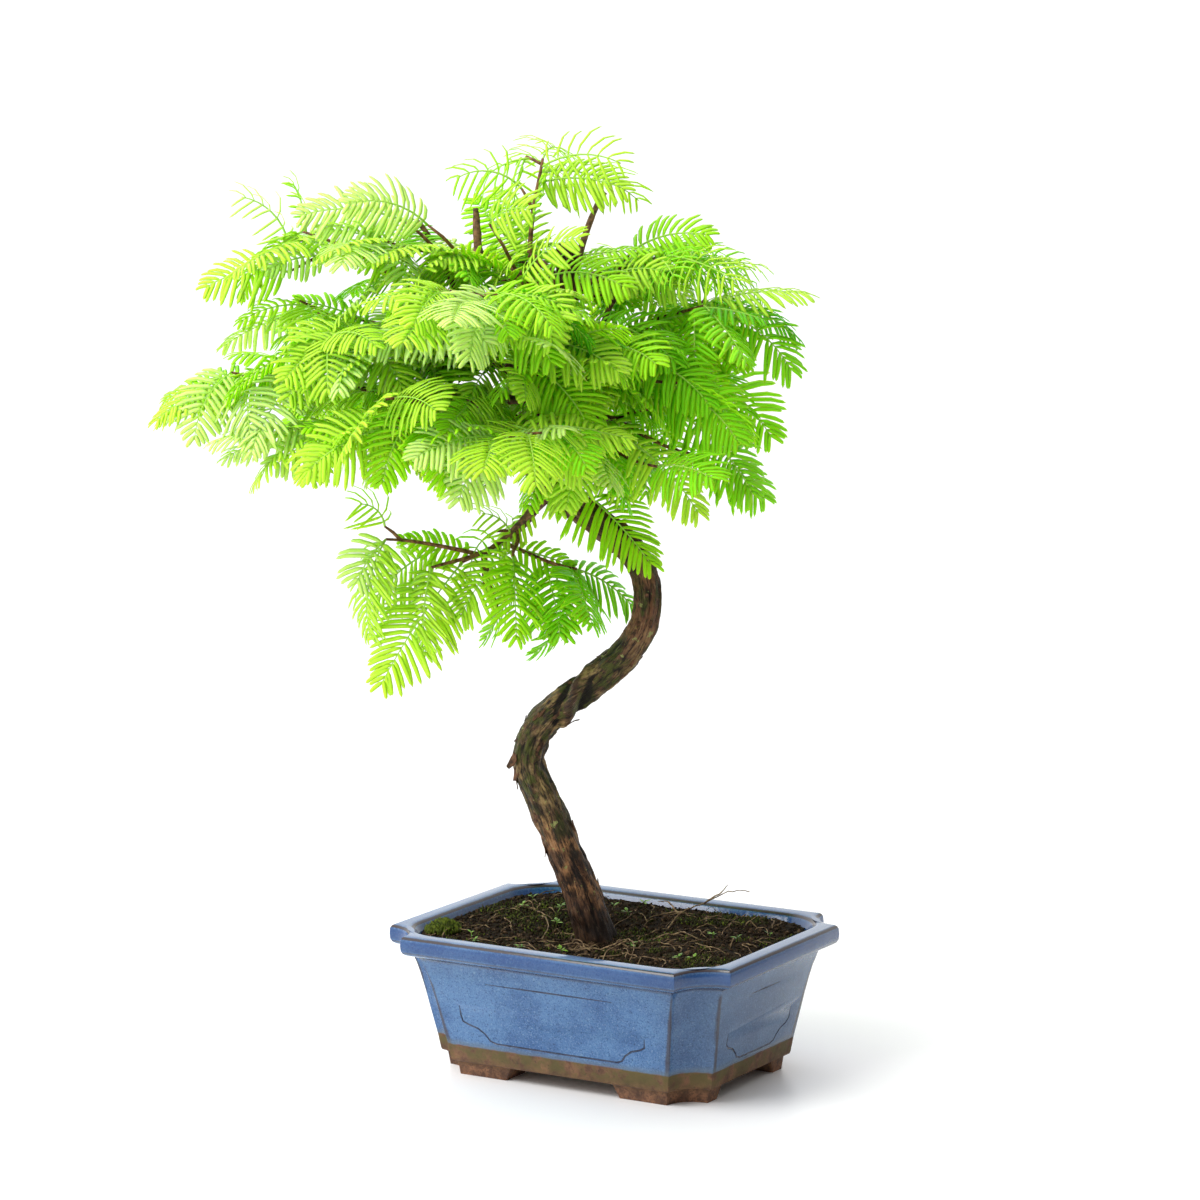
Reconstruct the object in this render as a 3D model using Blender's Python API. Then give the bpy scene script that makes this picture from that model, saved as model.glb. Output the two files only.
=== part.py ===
"""A dawn redwood bonsai: an S-bent trunk, its boughs and sprays, soil, and a glazed pot.

Metres, +Z up. The pot's long side lies along X. The tree is laid out in a frame of its own,
which starts at the foot of the trunk and is turned to the plane of the trunk's bends:
s runs sideways in that plane, d runs away from its front, h is the height above the soil.
"""

import math
import random

import bmesh
import bpy
from mathutils import Vector
from mathutils.bvhtree import BVHTree

# The pot
POT_LENGTH = 0.200
POT_WIDTH = 0.149
POT_HEIGHT = 0.074
POT_FLOOR = 0.015
CORNER_STEPS = 4
FOOT_HEIGHT = 0.007
FOOT_GAP_LONG = 0.060
FOOT_GAP_SHORT = 0.049
FOOT_WALL = 0.018
POT_CENTRE = Vector((0.0501, 0.0173, 0.0))

# The soil
SOIL_TOP = 0.063
SOIL_SINK = 0.0025
SOIL_ROUGHNESS = 0.0012
SOIL_FLAT_RADIUS = 0.019
SOIL_RINGS = 5

# The tree's frame and the limbs
GAP = 0.0003
CLEARANCE = 0.0006
SEATING_STEPS = 6
TREE_FOOT = Vector((-0.004, -0.007, 0.0))
TREE_TURN = math.radians(31.9)
TRUNK_SIDES = 12
TRUNK_STEPS = 2
ROOT_FLARE = 0.005
ROOT_FLARE_HEIGHT = 0.009
ROOT_LOBES = 4
ROOT_LOBE_DEPTH = 0.35
ROOT_LOBE_TURN = 0.6
BARK_LUMPS = 0.05
BOUGH_SIDES = 5
BOUGH_STEPS = 4
EARLY_RISE = 1.5
LIMB_WEAVE = 0.03
BOUGH_TIP = 0.0014
STUB_TIP = 0.0013

# The masses
TWIG_SIDES = 3
STEM_STEPS = 4
STEM_RADIUS = 0.0020
TWIG_RADIUS = 0.0015
TWIG_TIP = 0.0013
TWIG_LENGTH = (0.004, 0.012)
TWIG_TAPER = 1.6
SUNK = 0.0015
SPRAY_SPACING = 0.020
FIRST_PAIR = 0.97
PAIR_SCATTER = 0.06
LEAFY_SHARE = 0.80
SPRAY_LENGTH = (0.046, 0.062)
SPRAY_ASPECT = 0.29
WIDEST = 0.28
ROOT_WIDTH = 0.62
TIP_WIDTH = 0.22
WIDTH_POWER = 1.6
SPRAY_TEETH = 5
PETIOLE = 0.07
PETIOLE_RADIUS = 0.0004
SPRAY_THICKNESS = 0.0012
ARCH_STEPS = 8
NOTCH_SHARE = 0.26
NEEDLE_SWEEP = 0.42
NEEDLE_SAG = 0.22
SPRAY_BEND = (20.0, 44.0)
SPRAY_ROLL = 24.0
SPRAY_ANGLE = (36.0, 66.0)
TIP_SPRAY_ANGLE = (-12.0, 12.0)
SLOPE_SPREAD = 14.0
SHORTER_PER_DEGREE = 0.0025
SPACE_SLACK = 0.014
CROWN_FLOOR = 0.220
LOW_FLOOR = 0.125
TRIES = 14

# The middle of the trunk from the soil to its cut top: s, d, h and radius
TRUNK_ROUTE = (
    (0.0000, 0.000, 0.0000, 0.0088),
    (-0.0092, 0.000, 0.0290, 0.0090),
    (-0.0222, 0.002, 0.0628, 0.0088),
    (-0.0336, 0.005, 0.0895, 0.0083),
    (-0.0337, 0.006, 0.1015, 0.0080),
    (-0.0287, 0.005, 0.1125, 0.0081),
    (-0.0192, 0.003, 0.1226, 0.0084),
    (0.0100, -0.004, 0.1455, 0.0080),
    (0.0252, -0.010, 0.1685, 0.0072),
    (0.0242, -0.006, 0.1940, 0.0071),
    (0.0072, 0.002, 0.2132, 0.0071),
    (-0.0188, 0.009, 0.2290, 0.0068),
    (-0.0290, 0.010, 0.2410, 0.0066),
    (-0.0215, 0.008, 0.2772, 0.0060),
    (-0.0165, 0.004, 0.3124, 0.0056),
    (-0.0115, 0.001, 0.3418, 0.0051),
    (-0.0127, 0.000, 0.3560, 0.0048),
)

# A bough: name, height where it leaves the trunk, bearing, reach, rise, radius at its root.
# Bearings are in degrees from the s axis, turning towards the d axis.
BOUGHS = (
    ("low_bough", 0.232, 190, 0.030, -0.026, 0.0030),
    ("left_bough", 0.256, 188, 0.048, 0.022, 0.0030),
    ("left_low_bough", 0.247, 208, 0.044, 0.014, 0.0027),
    ("left_middle_bough", 0.287, 200, 0.044, 0.014, 0.0027),
    ("left_back_bough", 0.280, 163, 0.046, 0.024, 0.0027),
    ("left_low_back_bough", 0.262, 146, 0.040, 0.010, 0.0025),
    ("upper_left_bough", 0.303, 176, 0.050, 0.016, 0.0028),
    ("front_left_bough", 0.273, 228, 0.038, 0.010, 0.0027),
    ("front_bough", 0.258, 262, 0.032, 0.008, 0.0025),
    ("front_right_bough", 0.254, 310, 0.030, 0.008, 0.0025),
    ("right_low_bough", 0.268, 352, 0.028, 0.002, 0.0024),
    ("right_front_bough", 0.284, 330, 0.026, 0.008, 0.0024),
    ("right_bough", 0.297, 6, 0.030, 0.014, 0.0026),
    ("right_back_bough", 0.276, 38, 0.032, 0.010, 0.0025),
    ("back_bough", 0.264, 82, 0.036, 0.012, 0.0026),
    ("back_left_bough", 0.294, 118, 0.038, 0.014, 0.0025),
    ("upper_front_bough", 0.316, 236, 0.030, 0.016, 0.0024),
    ("upper_back_bough", 0.320, 74, 0.026, 0.012, 0.0023),
    ("top_left_bough", 0.328, 184, 0.040, 0.022, 0.0024),
    ("top_right_bough", 0.332, 20, 0.022, 0.008, 0.0020),
    ("top_bough", 0.337, 170, 0.014, 0.012, 0.0020),
)

# A bare twig, cut short: name, carrier, place along it, bearing, reach, rise, radius at its root.
# A place along the trunk is a height, and along a bough it is a share of its length.
BARE_TWIGS = (
    ("leader_twig", "trunk", 0.346, 4, 0.014, 0.034, 0.0017),
    ("left_top_stub", "top_left_bough", 0.93, 176, 0.001, 0.022, 0.0024),
    ("orange_twig", "upper_left_bough", 0.80, 178, 0.024, 0.048, 0.0015),
    ("low_stub", "low_bough", 0.97, 2, 0.007, -0.030, 0.0013),
    ("right_stub", "right_bough", 0.55, 5, 0.012, 0.024, 0.0013),
)

# A mass: name, carrier, place along it, bearing, reach and rise of its stem,
# and the slope of its sprays at their roots in degrees.
MASSES = (
    ("low_left_mass", "low_bough", 1.0, 192, 0.048, 0.010, -52),
    ("low_right_mass", "low_bough", 0.62, 348, 0.036, -0.012, -50),
    ("low_hanging_mass", "low_bough", 0.86, 214, 0.034, -0.006, -58),
    ("low_middle_mass", "low_bough", 0.40, 262, 0.018, -0.010, -56),
    ("far_left_mass", "left_bough", 1.0, 186, 0.086, 0.012, -6),
    ("left_low_mass", "left_low_bough", 1.0, 200, 0.070, 0.006, -6),
    ("left_middle_mass", "left_middle_bough", 1.0, 197, 0.070, 0.010, -2),
    ("left_back_mass", "left_back_bough", 1.0, 166, 0.074, 0.014, 2),
    ("left_low_back_mass", "left_low_back_bough", 1.0, 150, 0.066, 0.004, -8),
    ("upper_left_mass", "upper_left_bough", 1.0, 175, 0.070, 0.042, 4),
    ("front_left_mass", "front_left_bough", 1.0, 224, 0.066, 0.004, -6),
    ("front_mass", "front_bough", 1.0, 256, 0.056, 0.004, -8),
    ("front_right_mass", "front_right_bough", 1.0, 316, 0.048, -0.010, -30),
    ("right_low_mass", "right_low_bough", 1.0, 350, 0.040, -0.018, -36),
    ("right_front_mass", "right_front_bough", 1.0, 332, 0.040, -0.002, -14),
    ("right_mass", "right_bough", 1.0, 2, 0.040, 0.012, -8),
    ("right_back_mass", "right_back_bough", 1.0, 36, 0.050, 0.002, -14),
    ("back_mass", "back_bough", 1.0, 86, 0.060, 0.004, -10),
    ("back_left_mass", "back_left_bough", 1.0, 122, 0.062, 0.010, -6),
    ("upper_front_mass", "upper_front_bough", 1.0, 244, 0.050, 0.004, -2),
    ("upper_back_mass", "upper_back_bough", 1.0, 66, 0.050, 0.006, -4),
    ("top_left_mass", "top_left_bough", 1.0, 186, 0.054, 0.004, 4),
    ("top_right_mass", "top_right_bough", 1.0, 20, 0.034, 0.006, 2),
    ("top_mass", "top_bough", 1.0, 60, 0.014, 0.045, 16),
    ("low_front_mass", "trunk", 0.246, 305, 0.024, -0.004, -40),
    ("low_back_mass", "trunk", 0.250, 62, 0.034, 0.004, -20),
    ("heart_front_mass", "trunk", 0.293, 266, 0.044, 0.008, -6),
    ("heart_right_mass", "trunk", 0.306, 322, 0.036, 0.006, -8),
    ("heart_back_mass", "trunk", 0.334, 128, 0.040, 0.010, 0),
)

CORNERS = ((1, 1), (-1, 1), (-1, -1), (1, -1))
WELD = 0.000004
STEM_RADII = [STEM_RADIUS + (TWIG_TIP - STEM_RADIUS) * i / STEM_STEPS for i in range(STEM_STEPS + 1)]

# The ways to fuse a mass, in the order they are tried: solver, and the angle within which faces are merged
UNION_WAYS = (
    ("EXACT", math.radians(0.5)),
    ("MANIFOLD", math.radians(0.5)),
    ("EXACT", 0.0),
    ("MANIFOLD", 0.0),
)

# The pot's outer skin from the ground up to the rim's top: height, inset from the rim, corner radius
POT_SKIN = (
    (0.000, 0.0240, 0.0130),
    (FOOT_HEIGHT, 0.0230, 0.0135),
    (FOOT_HEIGHT + 0.0006, 0.0205, 0.0148),
    (0.0163, 0.0190, 0.0150),
    (0.0280, 0.0166, 0.0162),
    (0.0400, 0.0142, 0.0174),
    (0.0500, 0.0120, 0.0184),
    (0.0580, 0.0092, 0.0192),
    (0.0620, 0.0078, 0.0196),
    (0.0630, 0.0030, 0.0200),
    (0.0650, 0.0006, 0.0200),
    (0.0690, 0.0000, 0.0200),
    (0.0726, 0.0010, 0.0200),
    (POT_HEIGHT, 0.0034, 0.0205),
)

# Its inside from the rim's inner edge down to the floor
POT_INSIDE = (
    (0.0736, 0.0094, 0.0260),
    (0.0715, 0.0112, 0.0290),
    (0.0600, 0.0150, 0.0390),
    (POT_FLOOR, 0.0265, 0.0240),
)

# The soil's edge against the wall: height, inset, corner radius
SOIL_EDGE = (SOIL_TOP - SOIL_SINK, 0.0150, 0.0390)

UP = Vector((0.0, 0.0, 1.0))


def clear_scene():
    for old in list(bpy.data.objects):
        bpy.data.objects.remove(old, do_unlink=True)


def collection(name, hidden=False):
    made = bpy.data.collections.new(name)
    bpy.context.scene.collection.children.link(made)
    made.hide_render = hidden
    return made


def material(name, colour, roughness):
    made = bpy.data.materials.new(name)
    made.use_nodes = True
    shader = made.node_tree.nodes["Principled BSDF"]
    shader.inputs["Base Color"].default_value = (*colour, 1.0)
    shader.inputs["Roughness"].default_value = roughness
    shader.inputs["Metallic"].default_value = 0.0
    return made


def add_object(name, shape, home, finish=None):
    """An object made from a bmesh, which is then freed."""
    mesh = bpy.data.meshes.new(name)
    shape.to_mesh(mesh)
    shape.free()
    made = bpy.data.objects.new(name, mesh)
    home.objects.link(made)
    if finish:
        mesh.materials.append(finish)
    return made


def in_tree(s, d, h):
    """A point of the tree's frame, in the part's frame."""
    cos, sin = math.cos(TREE_TURN), math.sin(TREE_TURN)
    turned = Vector((s * cos - d * sin, s * sin + d * cos, h))
    return POT_CENTRE + TREE_FOOT + turned + UP * (SOIL_TOP + GAP)


def heading(bearing):
    """The level direction of a bearing."""
    angle = TREE_TURN + math.radians(bearing)
    return Vector((math.cos(angle), math.sin(angle), 0.0))


def spline(p, q, r, w, t):
    """The value between q and r of a smooth curve through p, q, r and w."""
    linear = (r - p) * t
    square = (2 * p - 5 * q + 4 * r - w) * t**2
    cubic = (3 * q - p - 3 * r + w) * t**3
    return 0.5 * (2 * q + linear + square + cubic)


def smooth_route(points, steps):
    """Evenly stepped points on a smooth curve through the given ones."""
    ends = [points[0], *points, points[-1]]
    route = []
    for a, b, c, d in zip(ends, ends[1:], ends[2:], ends[3:]):
        for step in range(steps):
            route.append(tuple(spline(*values, step / steps) for values in zip(a, b, c, d)))
    route.append(tuple(points[-1]))
    return route


def loft(sections):
    """A closed skin through rings of equally many points, flat at both ends."""
    shape = bmesh.new()
    rings = [[shape.verts.new(point) for point in section] for section in sections]
    for low, high in zip(rings, rings[1:]):
        for i in range(len(low)):
            shape.faces.new((low[i - 1], low[i], high[i], high[i - 1]))
    shape.faces.new(rings[0])
    shape.faces.new(rings[-1])
    bmesh.ops.triangulate(shape, faces=shape.faces)
    bmesh.ops.recalc_face_normals(shape, faces=shape.faces)
    return shape


def limb(points, radii, sides, level_foot=False):
    """A tapering tube along points, with rings square to its run."""
    sections = []
    across = None
    for i, (point, radius) in enumerate(zip(points, radii)):
        along = (points[min(i + 1, len(points) - 1)] - points[max(i - 1, 0)]).normalized()
        if level_foot and i == 0:
            along = UP
        if across is None:
            across = along.orthogonal()
        across = (across - along * across.dot(along)).normalized()
        beside = along.cross(across)
        ring = []
        for k in range(sides):
            angle = math.tau * k / sides
            size = radius(angle) if callable(radius) else radius
            ring.append(point + (across * math.cos(angle) + beside * math.sin(angle)) * size)
        sections.append(ring)
    return loft(sections)


# The pot


def outline(inset, radius, height, hollow):
    """A level ring of the pot: a rectangle with hollow quarter-round corners, or rounded ones."""
    ring = []
    for quarter, (sx, sy) in enumerate(CORNERS):
        a, b = POT_LENGTH / 2 - inset, POT_WIDTH / 2 - inset
        if not hollow:
            a, b = a - radius, b - radius
        for step in range(CORNER_STEPS + 1):
            share = step / CORNER_STEPS
            turn = math.pi / 2 * (quarter - 1 - share if hollow else quarter + share)
            corner = Vector((sx * a + radius * math.cos(turn), sy * b + radius * math.sin(turn), height))
            ring.append(POT_CENTRE + corner)
    return ring


def wedge_cutter(name, half_low, half_high, height, home):
    """A block under the pot, narrower at its top."""
    shape = bmesh.new()
    bmesh.ops.create_cube(shape, size=2.0)
    for vert in shape.verts:
        half = half_high if vert.co.z > 0 else half_low
        z = height if vert.co.z > 0 else -height
        vert.co = POT_CENTRE + Vector((vert.co.x * half[0], vert.co.y * half[1], z))
    cutter = add_object(name, shape, home)
    cutter.hide_render = True
    cutter.display_type = "WIRE"
    return cutter


def make_pot(home, cutters):
    """The pot, with hollow corners, a lipped rim, and a foot under each corner."""
    skin = [outline(inset, radius, height, True) for height, inset, radius in POT_SKIN]
    inside = [outline(inset, radius, height, False) for height, inset, radius in POT_INSIDE]
    pot = add_object("pot", loft(skin + inside), home, material("blue_glaze", (0.10, 0.20, 0.45), 0.2))
    long_half, short_half = POT_LENGTH / 2, POT_WIDTH / 2
    room = (long_half - FOOT_WALL - POT_SKIN[0][1], short_half - FOOT_WALL - POT_SKIN[0][1])
    across, along = FOOT_GAP_LONG / 2, FOOT_GAP_SHORT / 2
    bevel = FOOT_HEIGHT
    spaces = (
        ("foot_gap_across", (across + bevel, short_half), (across - bevel, short_half)),
        ("foot_gap_along", (long_half, along + bevel), (long_half, along - bevel)),
        ("foot_room", room, room),
    )
    for name, low, high in spaces:
        cut = pot.modifiers.new(name, "BOOLEAN")
        cut.operation = "DIFFERENCE"
        cut.object = wedge_cutter(name, low, high, FOOT_HEIGHT, cutters)
    return pot


def make_soil(home):
    """The soil: it fills the pot, lies flat under the trunk, and sinks a little towards the wall."""
    rng = random.Random("soil")
    height, inset, radius = POT_INSIDE[-1]
    walls = [
        outline(inset + GAP, radius, height + GAP, False),
        outline(SOIL_EDGE[1] + GAP, SOIL_EDGE[2], SOIL_EDGE[0], False),
    ]
    foot = POT_CENTRE + TREE_FOOT + UP * SOIL_TOP
    rings = []
    for step in range(1, SOIL_RINGS + 1):
        share = step / SOIL_RINGS
        ring = []
        for edge in walls[1]:
            level = (edge - foot) * Vector((1.0, 1.0, 0.0))
            inner = foot + level.normalized() * SOIL_FLAT_RADIUS
            point = edge.lerp(inner, share)
            sink = SOIL_SINK * (1 - share) ** 2
            bump = rng.uniform(-SOIL_ROUGHNESS, SOIL_ROUGHNESS) if step < SOIL_RINGS else 0.0
            point.z = SOIL_TOP - sink + bump
            ring.append(point)
        rings.append(ring)
    add_object("soil", loft(walls + rings), home, material("soil", (0.06, 0.04, 0.02), 0.95))


# The trunk and the limbs


def trunk_radius(route_radius, height, rng):
    """The trunk's radius at a height, as a function of the angle round it."""
    flare = ROOT_FLARE * math.exp(-height / ROOT_FLARE_HEIGHT)
    turns = [rng.uniform(0, math.tau) for _ in range(3)]

    def at(angle):
        lumps = sum(math.sin((k + 2) * angle + turns[k]) for k in range(3)) / 3
        lobes = 1 + ROOT_LOBE_DEPTH * math.sin(ROOT_LOBES * angle + ROOT_LOBE_TURN)
        return route_radius * (1 + BARK_LUMPS * lumps) + flare * lobes

    return at


def make_trunk():
    """(shape, centres, radii) of the trunk: one skin from its flat cut on the soil to its cut top."""
    rng = random.Random("trunk")
    route = smooth_route(TRUNK_ROUTE, TRUNK_STEPS)
    centres = [in_tree(s, d, h) for s, d, h, _ in route]
    radii = [trunk_radius(radius, h, rng) for _, _, h, radius in route]
    shape = limb(centres, radii, TRUNK_SIDES, level_foot=True)
    return shape, centres, [radius for _, _, _, radius in route]


def place_on(carrier, place):
    """(point, direction, radius) of a carrier at a share of its length, or at a height on the trunk."""
    centres, radii = carrier["centres"], carrier["radii"]
    if carrier["name"] == "trunk":
        height = in_tree(0, 0, place).z
        crossings = [i for i in range(len(centres) - 1) if centres[i].z <= height < centres[i + 1].z]
        index = crossings[-1]
        share = (height - centres[index].z) / (centres[index + 1].z - centres[index].z)
    else:
        run = place * (len(centres) - 1)
        index = min(int(run), len(centres) - 2)
        share = run - index
    low, high = centres[index], centres[index + 1]
    radius = radii[index] * (1 - share) + radii[index + 1] * share
    return low.lerp(high, share), (high - low).normalized(), radius


def start_beside(carrier, place, direction, radius):
    """(point, outward direction) where a limb of this radius starts, outside its carrier's tip or side."""
    point, along, thickness = place_on(carrier, place)
    lean = direction.dot(along)
    if carrier["name"] != "trunk" and place == 1.0 and lean > 0.5:
        return point + direction * (2 * CLEARANCE + radius), direction
    outward = (direction - along * lean).normalized()
    return point + outward * (thickness + 3 * CLEARANCE + radius * abs(lean)), outward


def limb_route(carrier, place, bearing, reach, rise, radii, sides):
    """Points of a limb that leaves its carrier on a bearing, rises early and then levels out."""
    level = heading(bearing)
    direction = (level * reach + UP * rise * EARLY_RISE).normalized()
    start, outward = start_beside(carrier, place, direction, radii[0])
    side = UP.cross(level)
    points = []
    for step in range(len(radii)):
        t = step / (len(radii) - 1)
        lift = rise * (EARLY_RISE * t - (EARLY_RISE - 1) * t * t)
        weave = LIMB_WEAVE * reach * math.sin(math.tau * t)
        points.append(start + level * reach * t + UP * lift + side * weave)
    return seated(points, radii, sides, carrier, outward)


def seated(points, radii, sides, carrier, outward):
    """The points moved in until the limb's root is one clearance away from its carrier."""
    skin = BVHTree.FromBMesh(carrier["shape"])
    best = points
    for _ in range(SEATING_STEPS):
        shape = limb(points, radii, sides)
        own = BVHTree.FromBMesh(shape)
        step = -CLEARANCE
        if not own.overlap(skin):
            best = points
            near = min(skin.find_nearest(vert.co)[3] for vert in shape.verts)
            back = min(own.find_nearest(vert.co)[3] for vert in carrier["shape"].verts)
            step = min(near, back) - CLEARANCE
        shape.free()
        points = [point - outward * step for point in points]
    return best


def make_limb(name, carrier, place, bearing, reach, rise, radius, tip):
    radii = [radius + (tip - radius) * i / BOUGH_STEPS for i in range(BOUGH_STEPS + 1)]
    points = limb_route(carrier, place, bearing, reach, rise, radii, BOUGH_SIDES)
    return {"name": name, "centres": points, "radii": radii, "shape": limb(points, radii, BOUGH_SIDES)}


# The masses


def spray_axis(root, level, slope, bend, length, share):
    """(point, direction) on the arching midrib of a spray."""
    point = root.copy()
    for step in range(ARCH_STEPS):
        angle = math.radians(slope - bend * share * (step + 0.5) / ARCH_STEPS)
        point += (level * math.cos(angle) + UP * math.sin(angle)) * length * share / ARCH_STEPS
    angle = math.radians(slope - bend * share)
    return point, level * math.cos(angle) + UP * math.sin(angle)


def spray_width(share):
    """The reach of a spray's needles along it, as a share of the greatest."""
    if share < WIDEST:
        return ROOT_WIDTH + (1 - ROOT_WIDTH) * share / WIDEST
    return 1 - (1 - TIP_WIDTH) * ((share - WIDEST) / (1 - WIDEST)) ** WIDTH_POWER


def spray(root, level, slope, bend, length, roll):
    """A flat spray of needles: a toothed blade that arches over and is thickest along its midrib."""
    shape = bmesh.new()
    widest = length * SPRAY_ASPECT

    def place(share, out, lift):
        point, along = spray_axis(root, level, slope, bend, length, share)
        flat = UP.cross(level)
        side = flat * math.cos(roll) + along.cross(flat) * math.sin(roll)
        return point + side * out + along.cross(side) * (lift - NEEDLE_SAG * out * out / widest)

    shares = [0.0] + [PETIOLE + (1 - PETIOLE) * tooth / SPRAY_TEETH for tooth in range(SPRAY_TEETH)]
    ridges = {1: [], -1: []}
    notches = {1: [], -1: []}
    tips = {1: [], -1: []}
    for station, share in enumerate(shares):
        inner = widest * spray_width(share) * NOTCH_SHARE if station else PETIOLE_RADIUS
        outer = widest * spray_width(share + 0.5 / SPRAY_TEETH)
        reach = share + (0.5 + NEEDLE_SWEEP * outer / widest) / SPRAY_TEETH
        for side in (1, -1):
            lift = side * (SPRAY_THICKNESS / 2 * (1 - 0.5 * share) if station else PETIOLE_RADIUS)
            ridges[side].append(shape.verts.new(place(share, 0, lift)))
            notches[side].append(shape.verts.new(place(share, side * inner, 0)))
            if station:
                tips[side].append(shape.verts.new(place(reach, side * outer, 0)))
    end = shape.verts.new(place(1.0, 0, 0))
    for side in (1, -1):
        edge = notches[side] + [end]
        for ridge in ridges.values():
            shape.faces.new((ridge[0], edge[0], edge[1], ridge[1]))
            for i in range(1, SPRAY_TEETH + 1):
                shape.faces.new((ridge[i], edge[i], tips[side][i - 1]))
                shape.faces.new((ridge[i], tips[side][i - 1], edge[i + 1]))
                if i < SPRAY_TEETH:
                    shape.faces.new((ridge[i], edge[i + 1], ridge[i + 1]))
        shape.faces.new((ridges[1][0], edge[0], ridges[-1][0]))
    bmesh.ops.triangulate(shape, faces=shape.faces)
    bmesh.ops.recalc_face_normals(shape, faces=shape.faces)
    return shape


def distance_to(points, place):
    """The distance from a place to a run of points."""
    least = math.inf
    for a, b in zip(points, points[1:]):
        run = b - a
        share = max(0.0, min(1.0, (place - a).dot(run) / run.length_squared))
        least = min(least, (place - a - run * share).length)
    return least


def keeps_to_space(shape, own, others, floor):
    """Whether each point is above the floor and, within the slack, nearer to its own stem than to others."""
    for vert in shape.verts:
        if vert.co.z < floor:
            return False
        mine = distance_to(own, vert.co)
        if any(distance_to(other, vert.co) + SPACE_SLACK < mine for other in others):
            return False
    return True


def clear_of(shape, solids):
    """Whether a shape neither meets nor comes close to the solids."""
    tree = BVHTree.FromBMesh(shape)
    for solid in solids:
        if tree.overlap(solid):
            return False
        if any(solid.find_nearest(vert.co, CLEARANCE)[0] for vert in shape.verts):
            return False
    return True


def spray_roots(stem, rng):
    """(place along the stem, side, on a twig) of each spray: one at the tip, then pairs back along it."""
    length = sum((b - a).length for a, b in zip(stem, stem[1:]))
    pairs = max(1, round(length * LEAFY_SHARE / SPRAY_SPACING))
    roots = [(1.0, 0, False)]
    for pair in range(pairs):
        place = FIRST_PAIR - LEAFY_SHARE * pair / pairs
        twigged = 1 if pair % 2 else -1
        roots += [(place - rng.uniform(0.0, PAIR_SCATTER), side, side == twigged) for side in (1, -1)]
    return roots


def spray_on_twig(stem, place, side, twigged, slope, spread, rng):
    """A spray on its own short twig or straight on the stem, as a list of shapes."""
    count = len(stem) - 1
    index = min(int(place * count), count - 1)
    root = stem[index].lerp(stem[index + 1], place * count - index)
    along = stem[index + 1] - stem[index]
    level = Vector((along.x, along.y, 0.0)).normalized()
    turn = math.radians(rng.uniform(*(SPRAY_ANGLE if side else TIP_SPRAY_ANGLE))) * (side or 1)
    level = level * math.cos(turn) + UP.cross(level) * math.sin(turn)
    lean = slope + rng.uniform(-spread, spread)
    length = rng.uniform(*SPRAY_LENGTH) * (1 - SHORTER_PER_DEGREE * spread)
    bend = rng.uniform(*SPRAY_BEND)
    roll = math.radians(rng.uniform(-SPRAY_ROLL, SPRAY_ROLL))
    twig = rng.uniform(*TWIG_LENGTH) * (TWIG_TAPER - place) if twigged else 0.0
    direction = level * math.cos(math.radians(lean)) + UP * math.sin(math.radians(lean))
    tip = root + direction * twig
    sunk = 0.0 if side and not twigged else SUNK
    shapes = [spray(tip - direction * sunk, level, lean, bend, length, roll)]
    if twig:
        shapes.append(limb([root, tip + direction * SUNK], [TWIG_RADIUS, TWIG_TIP], TWIG_SIDES))
    return shapes


def grow_mass(name, stem, slope, others, solids):
    """The stem, twigs and sprays of a mass, as a list of shapes that are fused later."""
    rng = random.Random(name)
    floor = in_tree(0, 0, LOW_FLOOR if name.startswith("low_") else CROWN_FLOOR).z
    pieces = [limb(stem, STEM_RADII, TWIG_SIDES)]
    blades = []
    for place, side, twigged in spray_roots(stem, rng):
        for attempt in range(TRIES):
            spread = SLOPE_SPREAD * (1 + attempt / 2)
            made = spray_on_twig(stem, place, side, twigged, slope, spread, rng)
            blade = BVHTree.FromBMesh(made[0])
            apart = not any(blade.overlap(other) for other in blades)
            kept = all(keeps_to_space(shape, stem, others, floor) for shape in made)
            if apart and kept and all(clear_of(shape, solids) for shape in made):
                pieces += made
                blades.append(blade)
                break
            for shape in made:
                shape.free()
    return pieces


def outer_shell(shape):
    """Keeps the largest closed shell, so that no hollow or loose scrap is left."""
    left = set(shape.faces)
    shells = []
    while left:
        shell, edge = set(), [next(iter(left))]
        while edge:
            face = edge.pop()
            if face in shell:
                continue
            shell.add(face)
            edge += [near for link in face.edges for near in link.link_faces if near not in shell]
        left -= shell
        shells.append(shell)
    keep = max(shells, key=len)
    bmesh.ops.delete(shape, geom=[face for face in shape.faces if face not in keep], context="FACES")


def drop_flaps(shape):
    """Removes pairs of faces that lie back to back on the same three points."""
    seen = {}
    for face in shape.faces:
        seen.setdefault(frozenset(face.verts), []).append(face)
    flaps = [face for faces in seen.values() if len(faces) > 1 for face in faces]
    bmesh.ops.delete(shape, geom=flaps, context="FACES_ONLY")
    loose = [edge for edge in shape.edges if not edge.link_faces]
    bmesh.ops.delete(shape, geom=loose, context="EDGES")


def joined(body, solver, flat):
    """The body's union by a solver, with faces that lie flat within an angle merged again."""
    body.modifiers["fused"].solver = solver
    bpy.context.view_layer.update()
    result = body.evaluated_get(bpy.context.evaluated_depsgraph_get()).to_mesh()
    shape = bmesh.new()
    shape.from_mesh(result)
    bmesh.ops.remove_doubles(shape, verts=shape.verts, dist=WELD)
    bmesh.ops.dissolve_limit(shape, angle_limit=flat, verts=shape.verts, edges=shape.edges)
    bmesh.ops.dissolve_degenerate(shape, edges=shape.edges, dist=WELD)
    bmesh.ops.triangulate(shape, faces=shape.faces)
    drop_flaps(shape)
    outer_shell(shape)
    return shape


def sound(shape):
    """Whether every edge still joins two faces once points closer than the weld are one."""
    test = shape.copy()
    bmesh.ops.remove_doubles(test, verts=test.verts, dist=WELD / 10)
    good = all(len(edge.link_faces) == 2 for edge in test.edges)
    test.free()
    return good


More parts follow.
